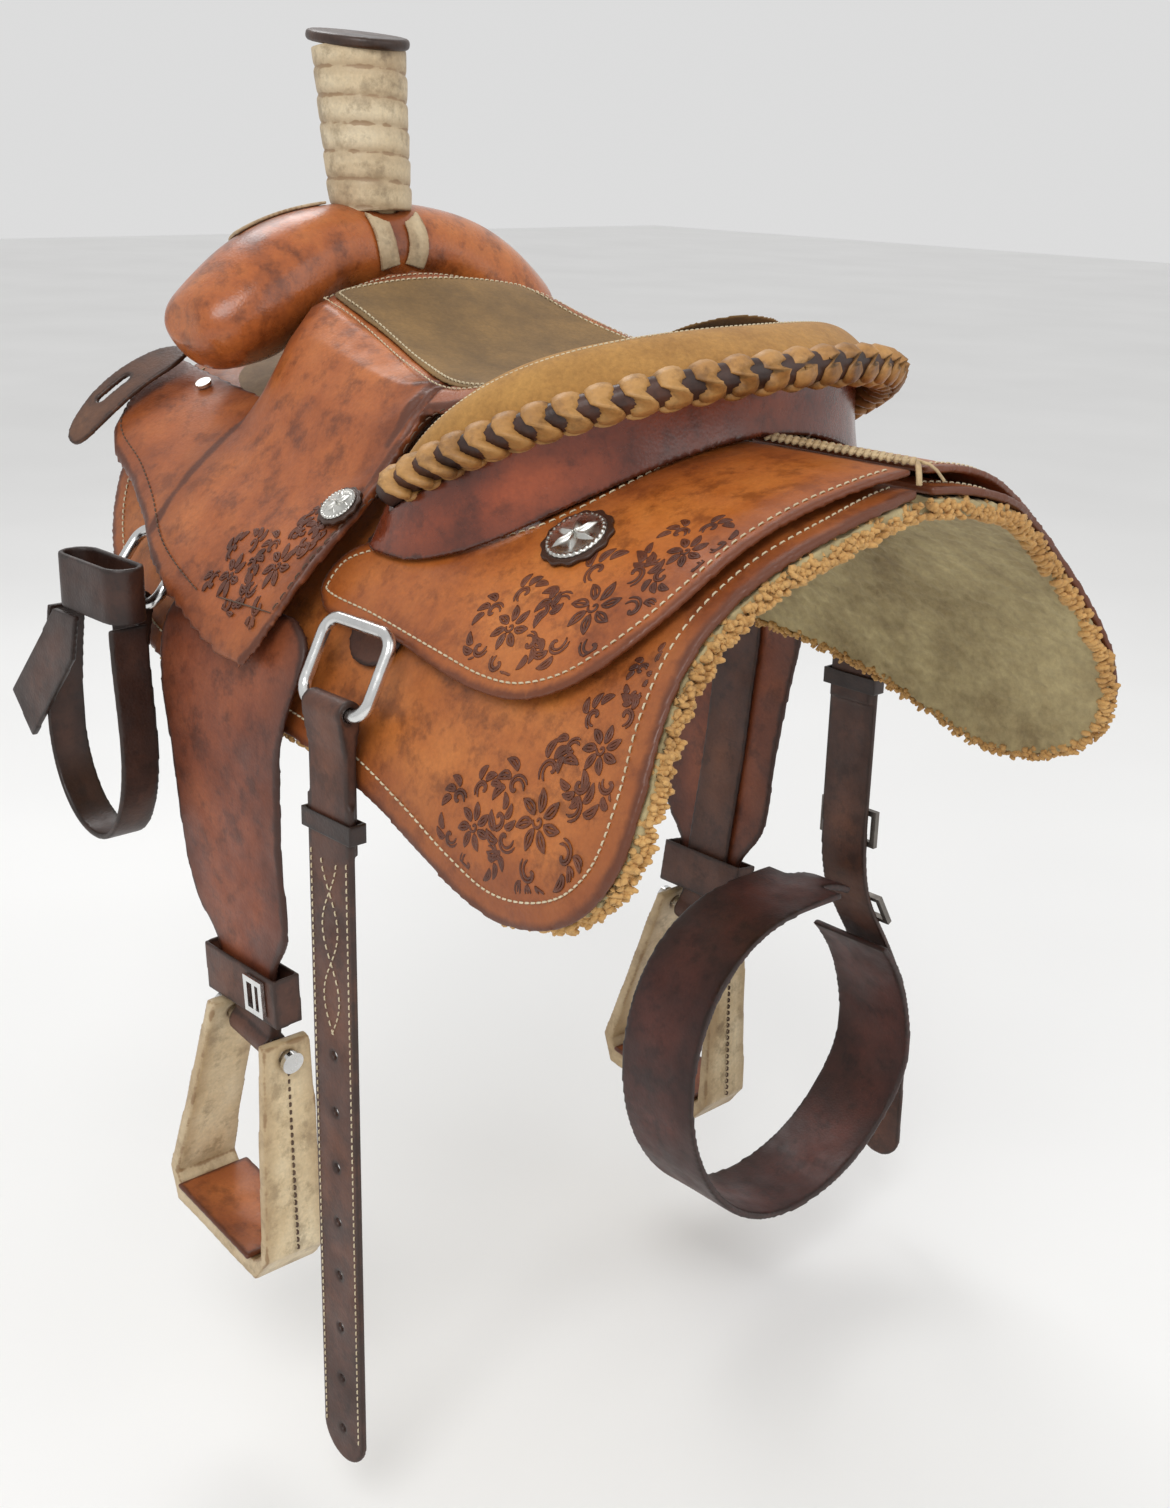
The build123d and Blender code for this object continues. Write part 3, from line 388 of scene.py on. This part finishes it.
def new_piece(name, verts, faces, material, body, scale=MM):
    """Mesh piece from points in millimetres, riding on a CAD body."""
    mesh = bpy.data.meshes.new(name)
    mesh.from_pydata([tuple(c * scale for c in v) for v in verts], [], faces)
    mesh.update()
    obj = bpy.data.objects.new(name, mesh)
    bpy.context.scene.collection.objects.link(obj)
    mesh.materials.append(material)
    for polygon in mesh.polygons:
        polygon.use_smooth = True
    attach(obj, body)
    return obj


def settle(obj):
    """Bakes an object's modifiers into its mesh."""
    graph = bpy.context.evaluated_depsgraph_get()
    mesh = bpy.data.meshes.new_from_object(obj.evaluated_get(graph))
    obj.modifiers.clear()
    obj.data = mesh
    for polygon in mesh.polygons:
        polygon.use_smooth = True


def push_out(mesh, amount):
    """Moves every vertex along its normal by amount(point)."""
    count = len(mesh.vertices)
    points = np.empty(count * 3)
    normals = np.empty(count * 3)
    mesh.vertices.foreach_get("co", points)
    mesh.vertex_normals.foreach_get("vector", normals)
    points = points.reshape(-1, 3)
    moves = np.array([amount(Vector(point)) for point in points])
    points += normals.reshape(-1, 3) * moves[:, None]
    mesh.vertices.foreach_set("co", points.ravel())
    mesh.update()


def sharp_samples(mesh):
    """Points along the sharp edges of a CAD mesh."""
    bm = bmesh.new()
    bm.from_mesh(mesh)
    bmesh.ops.remove_doubles(bm, verts=bm.verts, dist=1e-6)
    points = []
    for edge in bm.edges:
        if len(edge.link_faces) == 2 and edge.calc_face_angle(0) > 0.7:
            a, b = (v.co.copy() for v in edge.verts)
            count = max(1, int((a - b).length / 0.003))
            points += [a.lerp(b, i / count) for i in range(count + 1)]
    bm.to_mesh(mesh)
    bm.free()
    return points


def soften(node, material, voxel=2.0, rounds=5, ripple=0.0):
    """Rounded leather copy of a CAD node, with each point's distance from the rim as `edge`."""
    mesh = frame["nodes"][node].data.copy()
    rim = sharp_samples(mesh)
    obj = bpy.data.objects.new(node + "_leather", mesh)
    bpy.context.scene.collection.objects.link(obj)
    remesh = obj.modifiers.new("remesh", "REMESH")
    remesh.mode = "VOXEL"
    remesh.voxel_size = voxel * MM
    relax = obj.modifiers.new("relax", "SMOOTH")
    relax.iterations = rounds
    relax.factor = 0.5
    settle(obj)
    mesh = obj.data
    mesh.materials.clear()
    mesh.materials.append(material)
    tree = kdtree.KDTree(max(len(rim), 1))
    for i, point in enumerate(rim or [Vector((0, 0, 9))]):
        tree.insert(point, i)
    tree.balance()
    values = [min(tree.find(v.co)[2], 0.06) for v in mesh.vertices]
    layer = mesh.attributes.new("edge", "FLOAT", "POINT")
    layer.data.foreach_set("value", values)
    if ripple:
        push_out(mesh, lambda point: noise.noise(point * 14) * ripple * MM)
    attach(obj, BODY_OF[node])
    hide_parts(node)
    return obj


def resampled(points, step, closed=False):
    """Points of a smooth line through the given ones, `step` apart."""
    count = len(points)
    dense = []
    for i in range(count if closed else count - 1):
        def at(k):
            return Vector(points[k % count]) if closed else Vector(points[min(max(k, 0), count - 1)])
        p0, p1, p2, p3 = at(i - 1), at(i), at(i + 1), at(i + 2)
        for k in range(16):
            t = k / 16
            dense.append(
                (p1 * 2 + (p2 - p0) * t + (p0 * 2 - p1 * 5 + p2 * 4 - p3) * t**2
                 + (p1 * 3 - p0 - p2 * 3 + p3) * t**3) * 0.5
            )
    dense.append(dense[0] if closed else Vector(points[-1]))
    result = [dense[0]]
    carried = 0.0
    for a, b in zip(dense, dense[1:]):
        length = (b - a).length
        while carried + length >= step:
            a = a.lerp(b, (step - carried) / length)
            length = (b - a).length
            carried = 0.0
            result.append(a)
            if length < 1e-9:
                break
        carried += length
    return result


def inset(points, distance, closed=True):
    """A 2-D line drawn in by a distance, towards the side that it goes round."""
    flat = [Vector((p[0], p[1])) for p in points]
    area = sum(a.x * b.y - b.x * a.y for a, b in zip(flat, flat[1:] + flat[:1]))
    turn = 1 if area > 0 else -1
    moved = []
    for i, p in enumerate(flat):
        ahead = flat[(i + 1) % len(flat)] if closed else flat[min(i + 1, len(flat) - 1)]
        behind = flat[i - 1] if closed else flat[max(i - 1, 0)]
        tangent = ahead - behind
        normal = Vector((-tangent.y, tangent.x)).normalized() * turn
        moved.append(p + normal * distance)
    return moved


class Grains:
    """Many small closed shapes gathered into one mesh."""

    def __init__(self):
        self.verts = []
        self.faces = []

    def tube(self, path, radii, sides=6, flat=1.0, up=None):
        """Closed tube along a path; `flat` squeezes it along `up`."""
        base = len(self.verts)
        count = len(path)
        for i, point in enumerate(path):
            tangent = (path[min(i + 1, count - 1)] - path[max(i - 1, 0)]).normalized()
            guide = up if up is not None else Vector((0.13, 0.21, 0.97))
            side = tangent.cross(guide)
            if side.length < 1e-4:
                side = tangent.cross(Vector((1, 0, 0)))
            side.normalize()
            lift = side.cross(tangent)
            r = radii[i] if isinstance(radii, list) else radii
            for k in range(sides):
                a = 2 * pi * k / sides
                self.verts.append(point + side * (r * cos(a)) + lift * (r * flat * sin(a)))
        for i in range(count - 1):
            for k in range(sides):
                a = base + i * sides + k
                b = base + i * sides + (k + 1) % sides
                self.faces.append((a, b, b + sides, a + sides))
        self.faces.append(tuple(base + k for k in reversed(range(sides))))
        self.faces.append(tuple(base + (count - 1) * sides + k for k in range(sides)))

    def stitch(self, a, b, radius, up):
        """One thread stitch from a to b, standing a little proud in the middle."""
        path = [a - up * radius, a.lerp(b, 0.2) + up * radius * 0.5, a.lerp(b, 0.8) + up * radius * 0.5, b - up * radius]
        self.tube(path, [radius * 0.6, radius, radius, radius * 0.6], 5, 0.8, up)

    def mirrored(self):
        """Adds the mirror image of everything so far."""
        count = len(self.verts)
        self.verts += [Vector((v.x, -v.y, v.z)) for v in self.verts]
        self.faces += [tuple(reversed([i + count for i in face])) for face in self.faces[:]]

    def piece(self, name, material, body):
        return new_piece(name, self.verts, self.faces, material, body)


def stitch_line(grains, line, place, pitch=6.0, length=4.2, radius=0.75):
    """Stitches along a 2-D line laid on a surface by place(x, s, lift)."""
    for a, b in zip(line, line[1:]):
        end = a.lerp(b, length / pitch)
        start = place(a.x, a.y, 0.3)
        up = (place(a.x, a.y, 5.0) - start).normalized()
        grains.stitch(start, place(end.x, end.y, 0.3), radius, up)


def spiral(x, y, size, start, turn, sweep=4.6):
    """A scroll that curls in to its centre, as a 2-D line."""
    line = []
    for k in range(15):
        t = k / 14
        r = size * (1 - t) ** 0.8
        angle = start + turn * sweep * t
        line.append(Vector((x + r * cos(angle), y + r * sin(angle))))
    return line


def leaf(x, y, length, heading, bend):
    """Both edges and the vein of a curved leaf."""
    lines = []
    for side in (-1, 0, 1):
        line = []
        for k in range(8):
            t = k / 7
            angle = heading + bend * t
            middle = Vector((x + length * t * cos(angle), y + length * t * sin(angle)))
            across = Vector((-sin(angle), cos(angle)))
            line.append(middle + across * (side * length * 0.20 * sin(pi * min(t * 1.05, 1.0))))
        lines.append(line)
    return lines


def scroll_lines(centre, size, turn):
    """Generic flower with scrolls and leaves round it, as 2-D lines."""
    x, y = centre
    lines = [spiral(x, y, size * 0.09, 0, 1, 2 * pi)]
    for petal in range(7):
        angle = turn + petal * 2 * pi / 7
        px, py = x + size * 0.10 * cos(angle), y + size * 0.10 * sin(angle)
        lines += leaf(px, py, size * 0.27, angle - 0.15, 0.3)
    for arm in range(6):
        angle = turn + 0.3 + arm * 2 * pi / 6
        way = 1 if arm % 2 else -1
        ax, ay = x + size * 0.56 * cos(angle), y + size * 0.56 * sin(angle)
        lines.append(spiral(ax, ay, size * 0.19, angle + pi + way * 0.9, way))
        lines.append(spiral(ax, ay, size * 0.14, angle + pi + way * 0.5, way))
        for fan in (-0.7, -0.1, 0.5):
            lx, ly = x + size * 0.70 * cos(angle + fan * 0.3), y + size * 0.70 * sin(angle + fan * 0.3)
            lines += leaf(lx, ly, size * 0.24, angle + fan, 0.8 * way)
    return lines


def tooled(name, spots, outline, margin, place, material, body):
    """Raised tooling lines on the left and right leathers, kept inside a leather's outline."""
    edge = [Vector(p) for p in inset(resampled(outline, 8.0), margin, False)]
    grains = Grains()
    for centre, size, turn in spots:
        for line in scroll_lines(centre, size, turn):
            kept = [p for p in line if inside(p, edge)]
            if len(kept) < 4:
                continue
            path = [place(p.x, p.y, 0.1) for p in kept]
            up = (place(kept[0].x, kept[0].y, 5) - path[0]).normalized()
            grains.tube(path, [0.5] + [1.0] * (len(path) - 2) + [0.5], 6, 0.6, up)
    grains.mirrored()
    grains.piece(name, material, body)


def inside(point, line):
    """Whether a 2-D point is inside a line closed back on itself."""
    odd = False
    for a, b in zip(line, line[1:] + line[:1]):
        if (a.y > point.y) != (b.y > point.y) and point.x < a.x + (point.y - a.y) / (b.y - a.y) * (b.x - a.x):
            odd = not odd
    return odd


# ---------------------------------------------------------------- pieces


def back_place(off):
    return lambda x, down, lift: on_back(x, down, off + lift)


def dressed_nodes():
    """Rounded leather copies of the CAD solids whose shape is already right."""
    for side in ("left", "right"):
        soften("skirt_" + side, SKIRTING, 2.4, 4, 1.0)
        soften("back_jockey_" + side, ORANGE, 2.2, 4)
        soften("rigging_" + side, BILLET, 2.0)
        soften("fender_" + side, FENDER, 1.8, 4, 1.0)
        soften("stirrup_leather_" + side, BILLET, 1.8)
        soften("hobble_strap_" + side, BILLET, 1.2, 3)
        soften("flank_billet_" + side, BILLET, 1.5, 3)
        soften("billet_keeper_" + side, DARK, 1.0, 2)
        soften("stirrup_" + side, RAWHIDE, 1.8, 6, 1.2)
        soften("stirrup_tread_" + side, CHESTNUT, 1.5, 3)
        for node in ("rear_dee_", "front_dee_", "hobble_buckle_", "stirrup_bolt_"):
            paint(node + side, CHROME)
        paint("tree_bar_" + side, WOOD)
    soften("fork_cover", SWELL, 1.8, 8)
    soften("cantle_back", CANTLE, 1.8, 5)
    soften("cantle_roll", ROUGHOUT, 1.8, 5, 0.8)
    soften("seat", CHESTNUT, 2.3, 4)
    inlay = soften("seat_inlay", SUEDE, 1.1, 3)
    inlay.data.transform(Matrix.Translation((0, 0, -0.0020)))
    soften("horn_cap", CAP, 1.4, 4)
    soften("horn_wrap_tails", HIDE, 0.9, 2)
    soften("latigo", DARK, 1.5, 3)
    soften("latigo_loop", DARK, 1.5, 3)
    soften("latigo_knot", DARK, 1.5, 3)
    soften("latigo_tail", DARK, 1.5, 3)
    soften("off_billet", BILLET, 1.5, 3)
    soften("latigo_keeper", KEEPER, 1.2, 3)
    soften("flank_cinch", BURGUNDY, 2.0, 4, 1.0)
    paint("cinch_buckles", IRON)
    paint("seat_screws", SILVER)
    for node in ("tree_fork", "horn_core", "cantle_board", "ground_seat"):
        paint(node, WOOD)


def paint(node, material):
    """Gives a CAD node that keeps its own mesh a detailed material."""
    mesh = frame["nodes"][node].data
    mesh.materials.clear()
    mesh.materials.append(material)


def wool(side):
    """Fleece with a curled surface, and a fringe of curls round its edge."""
    node = "fleece_" + side
    sign = 1 if side == "left" else -1
    mesh = frame["nodes"][node].data.copy()
    obj = bpy.data.objects.new(node + "_wool", mesh)
    bpy.context.scene.collection.objects.link(obj)
    remesh = obj.modifiers.new("remesh", "REMESH")
    remesh.mode = "VOXEL"
    remesh.voxel_size = 0.003
    settle(obj)
    mesh = obj.data
    mesh.materials.clear()
    mesh.materials.append(KHAKI_WOOL)
    push_out(mesh, lambda p: 0.0016 * (noise.noise(p * 150) + 0.6 * noise.noise(p * 330)) - 0.0012)
    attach(obj, "saddle")
    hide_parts(node)
    curls = Grains()
    line = resampled(SKIRT_OUTLINE, 3.0)
    for i, p in enumerate(line):
        for layer in range(3):
            tangent = line[min(i + 1, len(line) - 1)] - line[max(i - 1, 0)]
            outward = Vector((tangent.y, -tangent.x)).normalized()
            outward = outward if outward.dot(Vector((p.x + 40, p.y - 150))) > 0 else -outward
            depth = random.uniform(1.5, 12.0)
            start = p - outward * random.uniform(2.0, 6.0)
            reach = random.uniform(4.0, 8.5)
            phase = random.uniform(0, 2 * pi)
            path = []
            for k in range(6):
                t = k / 5
                s = start + outward * (reach * t)
                wave = 1.9 * sin(phase + 5.5 * t)
                drop = depth + 1.9 * cos(phase + 5.5 * t) - 2.0 * t
                q = on_back(s.x + wave, s.y + wave * 0.5, max(drop, 0.6))
                path.append(Vector((q.x, q.y * sign, q.z)))
            curls.tube(path, [1.9, 2.5, 2.6, 2.4, 2.0, 1.2], 6)
    curls.piece("fleece_fringe_" + side, GOLDEN_WOOL, "saddle")


def skirt_stitching():
    threads = Grains()
    for outline, off, depth in ((SKIRT_OUTLINE, SKIRT_TOP, 17.0), (JOCKEY_OUTLINE, JOCKEY_TOP, 9.0)):
        line = inset(resampled(outline, 6.0), depth, False)
        stitch_line(threads, [p for p in line if p.y > 14.0], back_place(off))
    threads.mirrored()
    threads.piece("skirt_stitching", THREAD, "saddle")


def seat_stitching():
    threads = Grains()
    plan = INLAY_PLAN + [(x, -y) for x, y in reversed(INLAY_PLAN)]
    line = inset(resampled(plan, 5.4, True), 5.0)
    stitch_line(threads, line, lambda x, y, lift: on_seat(x, y, lift + 2.1), 5.4, 3.6, 0.8)
    edge = inset(resampled(plan, 5.4, True), -7.0)
    stitch_line(threads, edge, on_seat, 5.4, 3.6, 0.6)
    threads.piece("seat_stitching", THREAD, "saddle")
    line = resampled(SEAT_EDGE_RUN, 5.4)
    threads = Grains()
    run = [p + Vector((p.y, -p.x)).normalized() * 0 for p in line]
    stitch_line(threads, [Vector((p.x, p.y - 9)) for p in run if p.y < 276], on_seat, 5.4, 3.8, 0.6)
    threads.mirrored()
    threads.piece("jockey_edge_stitching", DARK_THREAD, "saddle")


def roll_lacing():
    """Puffy wraps of lace round the outer edge of the roll."""
    # The lacing core gets the near-black strap leather as painted shade: it shows as dark slots between the lace wraps.
    core = soften("cantle_lacing", DARK, 1.6, 2)
    core.name = "cantle_lacing_shade_core"
    wraps = Grains()
    count = 30
    for i in range(count):
        u = -0.97 + 1.94 * (i + 0.5) / count
        path = []
        for k in range(13):
            angle = 2 * pi * k / 12 - 0.6
            crest, out, up, along, width = roll_frame(u + 0.010 * (k / 12 - 0.5))
            middle = crest + out * (width - LACE_RADIUS * 0.1) - up * (ROLL_THICKNESS / 2)
            slant = along * (1.6 * sin(angle))
            path.append(
                middle + out * (LACE_RADIUS * 0.85 * cos(angle)) + up * (LACE_RADIUS * 0.95 * sin(angle)) + slant
            )
        crest, out, up, along, width = roll_frame(u)
        wraps.tube(path, [9.6] * len(path), 12, 0.46)
    wraps.piece("cantle_lace_wraps", LACE, "saddle")
    threads = Grains()
    for i in range(150):
        u = -0.95 + 1.9 * i / 149
        crest, out, up, along, width = roll_frame(u)
        a = crest + out * (width * 0.10) + up * 2.0
        threads.stitch(a, a + along * 2.9, 0.7, up)
    threads.piece("roll_stitching", THREAD, "saddle")


def horn_wraps():
    """Bands of hide strip wound round the horn's neck."""
    axis = (HORN_TOP - HORN_BASE).normalized()
    across = axis.cross(Vector((0, 1, 0))).normalized()
    side = axis.cross(across)
    turns, around, rows = 6, 64, 84
    verts, faces = [], []
    for j in range(rows + 1):
        for k in range(around):
            angle = 2 * pi * k / around
            h = WRAP_HEIGHT * j / rows
            phase = (h / WRAP_HEIGHT * turns + angle / (2 * pi)) % 1.0
            bulge = 2.1 * (1 - (2 * phase - 1) ** 6) * (0.55 + 0.45 * phase)
            r = WRAP_RADIUS_LOW + (WRAP_RADIUS_HIGH - WRAP_RADIUS_LOW) * j / rows - 1.0 + bulge
            r += 0.5 * noise.noise(Vector((angle * 3, h * 0.06, 2)))
            verts.append(HORN_BASE + axis * (h + 0.2) + (across * cos(angle) + side * sin(angle)) * r)
    for j in range(rows):
        for k in range(around):
            a, b = j * around + k, j * around + (k + 1) % around
            faces.append((a, b, b + around, a + around))
    faces.append(tuple(reversed(range(around))))
    faces.append(tuple(rows * around + k for k in range(around)))
    obj = new_piece("horn_wrap_bands", verts, faces, HIDE, "saddle")
    edge = obj.data.attributes.new("edge", "FLOAT", "POINT")
    values = []
    for j in range(rows + 1):
        for k in range(around):
            phase = (j / rows * turns + k / around) % 1.0
            values.append(min(phase, 1 - phase) * 0.019)
    edge.data.foreach_set("value", values)
    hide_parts("horn_wrap")


def relief_disc(name, node, centres, radius, height, shape, material):
    """Round ornaments given by a height and a rim over angle and reach."""
    verts, faces = [], []
    rings, around = 26, 120
    for place, normal in centres:
        guide = Vector((1, 0, 0))
        x_dir = (guide - normal * guide.dot(normal)).normalized()
        y_dir = normal.cross(x_dir)
        base = len(verts)
        for j in range(rings + 1):
            for k in range(around):
                angle = 2 * pi * k / around
                reach = j / rings
                rise, rim = shape(reach, angle)
                r = radius * reach * rim
                verts.append(place + x_dir * (r * cos(angle)) + y_dir * (r * sin(angle)) + normal * (height * rise))
        for k in range(around):
            angle = 2 * pi * k / around
            rim = shape(1.0, angle)[1]
            verts.append(place + x_dir * (radius * rim * cos(angle)) + y_dir * (radius * rim * sin(angle)))
        for j in range(rings + 1):
            for k in range(around):
                a, b = base + j * around + k, base + j * around + (k + 1) % around
                faces.append((a, b, b + around, a + around))
        last = base + (rings + 1) * around
        faces.append(tuple(last + k for k in reversed(range(around))))
    obj = new_piece(name, verts, faces, material, "saddle")
    bm = bmesh.new()
    bm.from_mesh(obj.data)
    bmesh.ops.remove_doubles(bm, verts=bm.verts, dist=1e-6)
    bmesh.ops.recalc_face_normals(bm, faces=bm.faces)
    bm.to_mesh(obj.data)
    bm.free()
    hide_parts(node)


def star(reach, angle):
    """A domed disc with a raised six-point star and a beaded rim."""
    swing = abs(((angle / (pi / 3)) % 1.0) - 0.5) * 2
    tip = 0.80 * (0.42 + 0.58 * swing**1.5)
    star_rise = max(0.0, min(1.0, (tip - reach) / 0.30)) * (0.55 + 0.45 * swing)
    bead = 0.35 * (0.5 + 0.5 * cos(angle * 30)) * max(0.0, 1 - abs(reach - 0.92) / 0.06)
    return 0.42 * sqrt(max(0.0, 1 - reach**6)) + 0.55 * star_rise + bead, 1.0


def scallop(reach, angle):
    """A flat leather rosette with a scalloped edge."""
    lobe = 1 - 0.07 * (0.5 - 0.5 * cos(angle * 12)) * reach**8
    return 0.75 + 0.2 * sqrt(max(0.0, 1 - reach**10)) - 0.18 * max(0, 1 - abs(reach - 0.9) / 0.03), lobe


def pair_of(place, normal):
    return [(place, normal), (Vector((place.x, -place.y, place.z)), Vector((normal.x, -normal.y, normal.z)))]


def conchos():
    rear = on_back(*REAR_CONCHO, JOCKEY_TOP + 0.4)
    normal = (on_back(*REAR_CONCHO, 10) - on_back(*REAR_CONCHO, 0)).normalized()
    tip = on_seat(*TIP_CONCHO, 3.0)
    tip_normal = (on_seat(*TIP_CONCHO, 10.0) - tip).normalized()
    relief_disc("rear_rosette_leather", "rear_rosettes", pair_of(rear, normal), 26, 3.2, scallop, ROSETTE)
    relief_disc("rear_star_conchos", "rear_conchos", pair_of(rear + normal * 3.1, normal), 21.5, 5.0, star, SILVER)
    relief_disc("tip_rosette_leather", "tip_rosettes", pair_of(tip, tip_normal), 18, 3.2, scallop, ROSETTE)
    relief_disc("tip_star_conchos", "tip_conchos", pair_of(tip + tip_normal * 3.1, tip_normal), 14.5, 4.0, star, SILVER)


def seam_lacing():
    """Braided lace over the seam between the rear jockeys."""
    braid = Grains()
    for i in range(20):
        x = -384 + i * 6.1
        for sign in (1, -1):
            path = []
            for k in range(7):
                t = k / 6
                rise = JOCKEY_TOP + 2.6 + 2.2 * sin(pi * t) + (0.9 if sign > 0 else 0)
                path.append(Vector((x + 7.5 * t, sign * (6.5 - 13 * t), rise - 0.6)))
            braid.tube(path, 2.1, 6, 0.6, Vector((0, 0, 1)))
    for sign in (1, -1):
        path = [Vector((-385 - 9 * t, sign * (2 + 9 * t), JOCKEY_TOP + 3.5 - 8 * t * t)) for t in (0, 0.4, 0.8, 1.2)]
        braid.tube(path, 2.0, 6, 0.6, Vector((0, 0, 1)))
    obj = braid.piece("seam_braid", PALE_LACE, "saddle")
    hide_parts("jockey_lacing")


def strap_stitching():
    """Edge and serpentine stitching down the left billet, and seams of the stirrups."""
    threads = Grains()
    out = Vector((0, 1, 0))
    for offset in (-20.5, 20.5):
        z = -240.0
        while z > -715:
            a = Vector((BILLET_X + offset, BILLET_FACE_Y, z))
            threads.stitch(a, a - Vector((0, 0, 4.0)), 0.7, out)
            z -= 5.8
    z = -244.0
    while z > -372:
        for side in (-1, 1):
            a = Vector((BILLET_X + side * 9 * sin(z / 17), BILLET_FACE_Y, z))
            b = Vector((BILLET_X + side * 9 * sin((z - 4) / 17), BILLET_FACE_Y, z - 4))
            threads.stitch(a, b, 0.7, out)
        z -= 5.8
    threads.piece("billet_stitching_left", THREAD, "flank_left")
    for side, sign, y0, z0 in (("left", 1, 258.8, -432.0), ("right", -1, 232.6, -477.0)):
        seams = Grains()
        tilt = Matrix.Rotation(radians(-9), 4, "Y")
        for leg in (1, -1):
            for i in range(26):
                t = i / 25
                x = leg * (40 + 32 * t)
                z = 2 - 160 * t
                a = tilt @ Vector((x + leg * 1.0, 0, z))
                b = tilt @ Vector((x + leg * 1.3, 0, z - 4.2))
                move = Vector((1, y0 * sign, z0))
                seams.stitch(a + move, b + move, 1.1, Vector((leg, 0, 0.2)).normalized())
        seams.piece("stirrup_seam_" + side, DARK_THREAD, "stirrup_" + side)


def stage():
    """Pale floor, soft studio light and the camera."""
    low = cad_box[0][2] - 0.06
    bpy.ops.mesh.primitive_plane_add(size=30, location=(0, 0, low))
    floor = bpy.context.object
    floor.name = "floor"
    g = Graph("floor_paint", 0.8)
    g.link(g.ramp(g.noise(1.2, 2.0), [(0.3, (0.86, 0.858, 0.85)), (0.7, (0.90, 0.898, 0.89))]),
           g.shader.inputs["Base Color"])
    floor.data.materials.append(g.material)
    world = bpy.context.scene.world or bpy.data.worlds.new("world")
    bpy.context.scene.world = world
    world.use_nodes = True
    bpy.context.scene.view_settings.view_transform = "Standard"
    world.node_tree.nodes["Background"].inputs["Color"].default_value = (1.0, 1.0, 1.0, 1)
    world.node_tree.nodes["Background"].inputs["Strength"].default_value = 0.72
    for name, place, size, power in (
        ("key", (-1.6, 2.2, 2.4), 1.8, 56), ("fill", (-2.6, -0.9, 1.3), 2.2, 14), ("rim", (1.8, -0.6, 2.0), 1.2, 20),
    ):
        light = bpy.data.lights.new(name, "AREA")
        light.size = size
        light.energy = power
        lamp = bpy.data.objects.new(name, light)
        bpy.context.scene.collection.objects.link(lamp)
        lamp.location = place
        lamp.rotation_euler = (Vector((0, 0, -0.1)) - Vector(place)).to_track_quat("-Z", "Y").to_euler()
    yaw, pitch, roll = radians(-43.0), radians(-19.0), radians(1.4)
    forward = Vector((cos(yaw) * cos(pitch), sin(yaw) * cos(pitch), sin(pitch)))
    right = forward.cross(Vector((0, 0, 1))).normalized()
    up = right.cross(forward)
    r = right * cos(roll) + up * sin(roll)
    u = up * cos(roll) - right * sin(roll)
    lens = bpy.data.cameras.new("camera")
    lens.lens = 43.0
    camera = bpy.data.objects.new("camera", lens)
    bpy.context.scene.collection.objects.link(camera)
    place = Matrix((r, u, -forward)).transposed().to_4x4()
    place.translation = Vector((-1.073, 0.923, 0.226))
    camera.matrix_world = place
    bpy.context.scene.camera = camera


dressed_nodes()
wool("left")
wool("right")
skirt_stitching()
seat_stitching()
roll_lacing()
horn_wraps()
conchos()
seam_lacing()
strap_stitching()
tooled(
    "skirt_tooling", [((-322, 312), 52, 0.3), ((-352, 262), 40, 1.0), ((-268, 330), 40, 0.2), ((-366, 215), 26, 0.6)],
    SKIRT_OUTLINE, 21.0, back_place(SKIRT_TOP), TOOLED, "saddle",
)
tooled(
    "jockey_tooling", [((-300, 190), 50, 0.9), ((-332, 140), 36, 0.2), ((-246, 216), 40, 0.5)],
    JOCKEY_OUTLINE, 13.0, back_place(JOCKEY_TOP), TOOLED, "saddle",
)
tooled(
    "seat_tooling", [((-28, 245), 34, 0.4), ((16, 256), 30, 1.1), ((-40, 218), 22, 0.2)],
    SEAT_EDGE_RUN, 10.0, on_seat, TOOLED, "saddle",
)
stage()
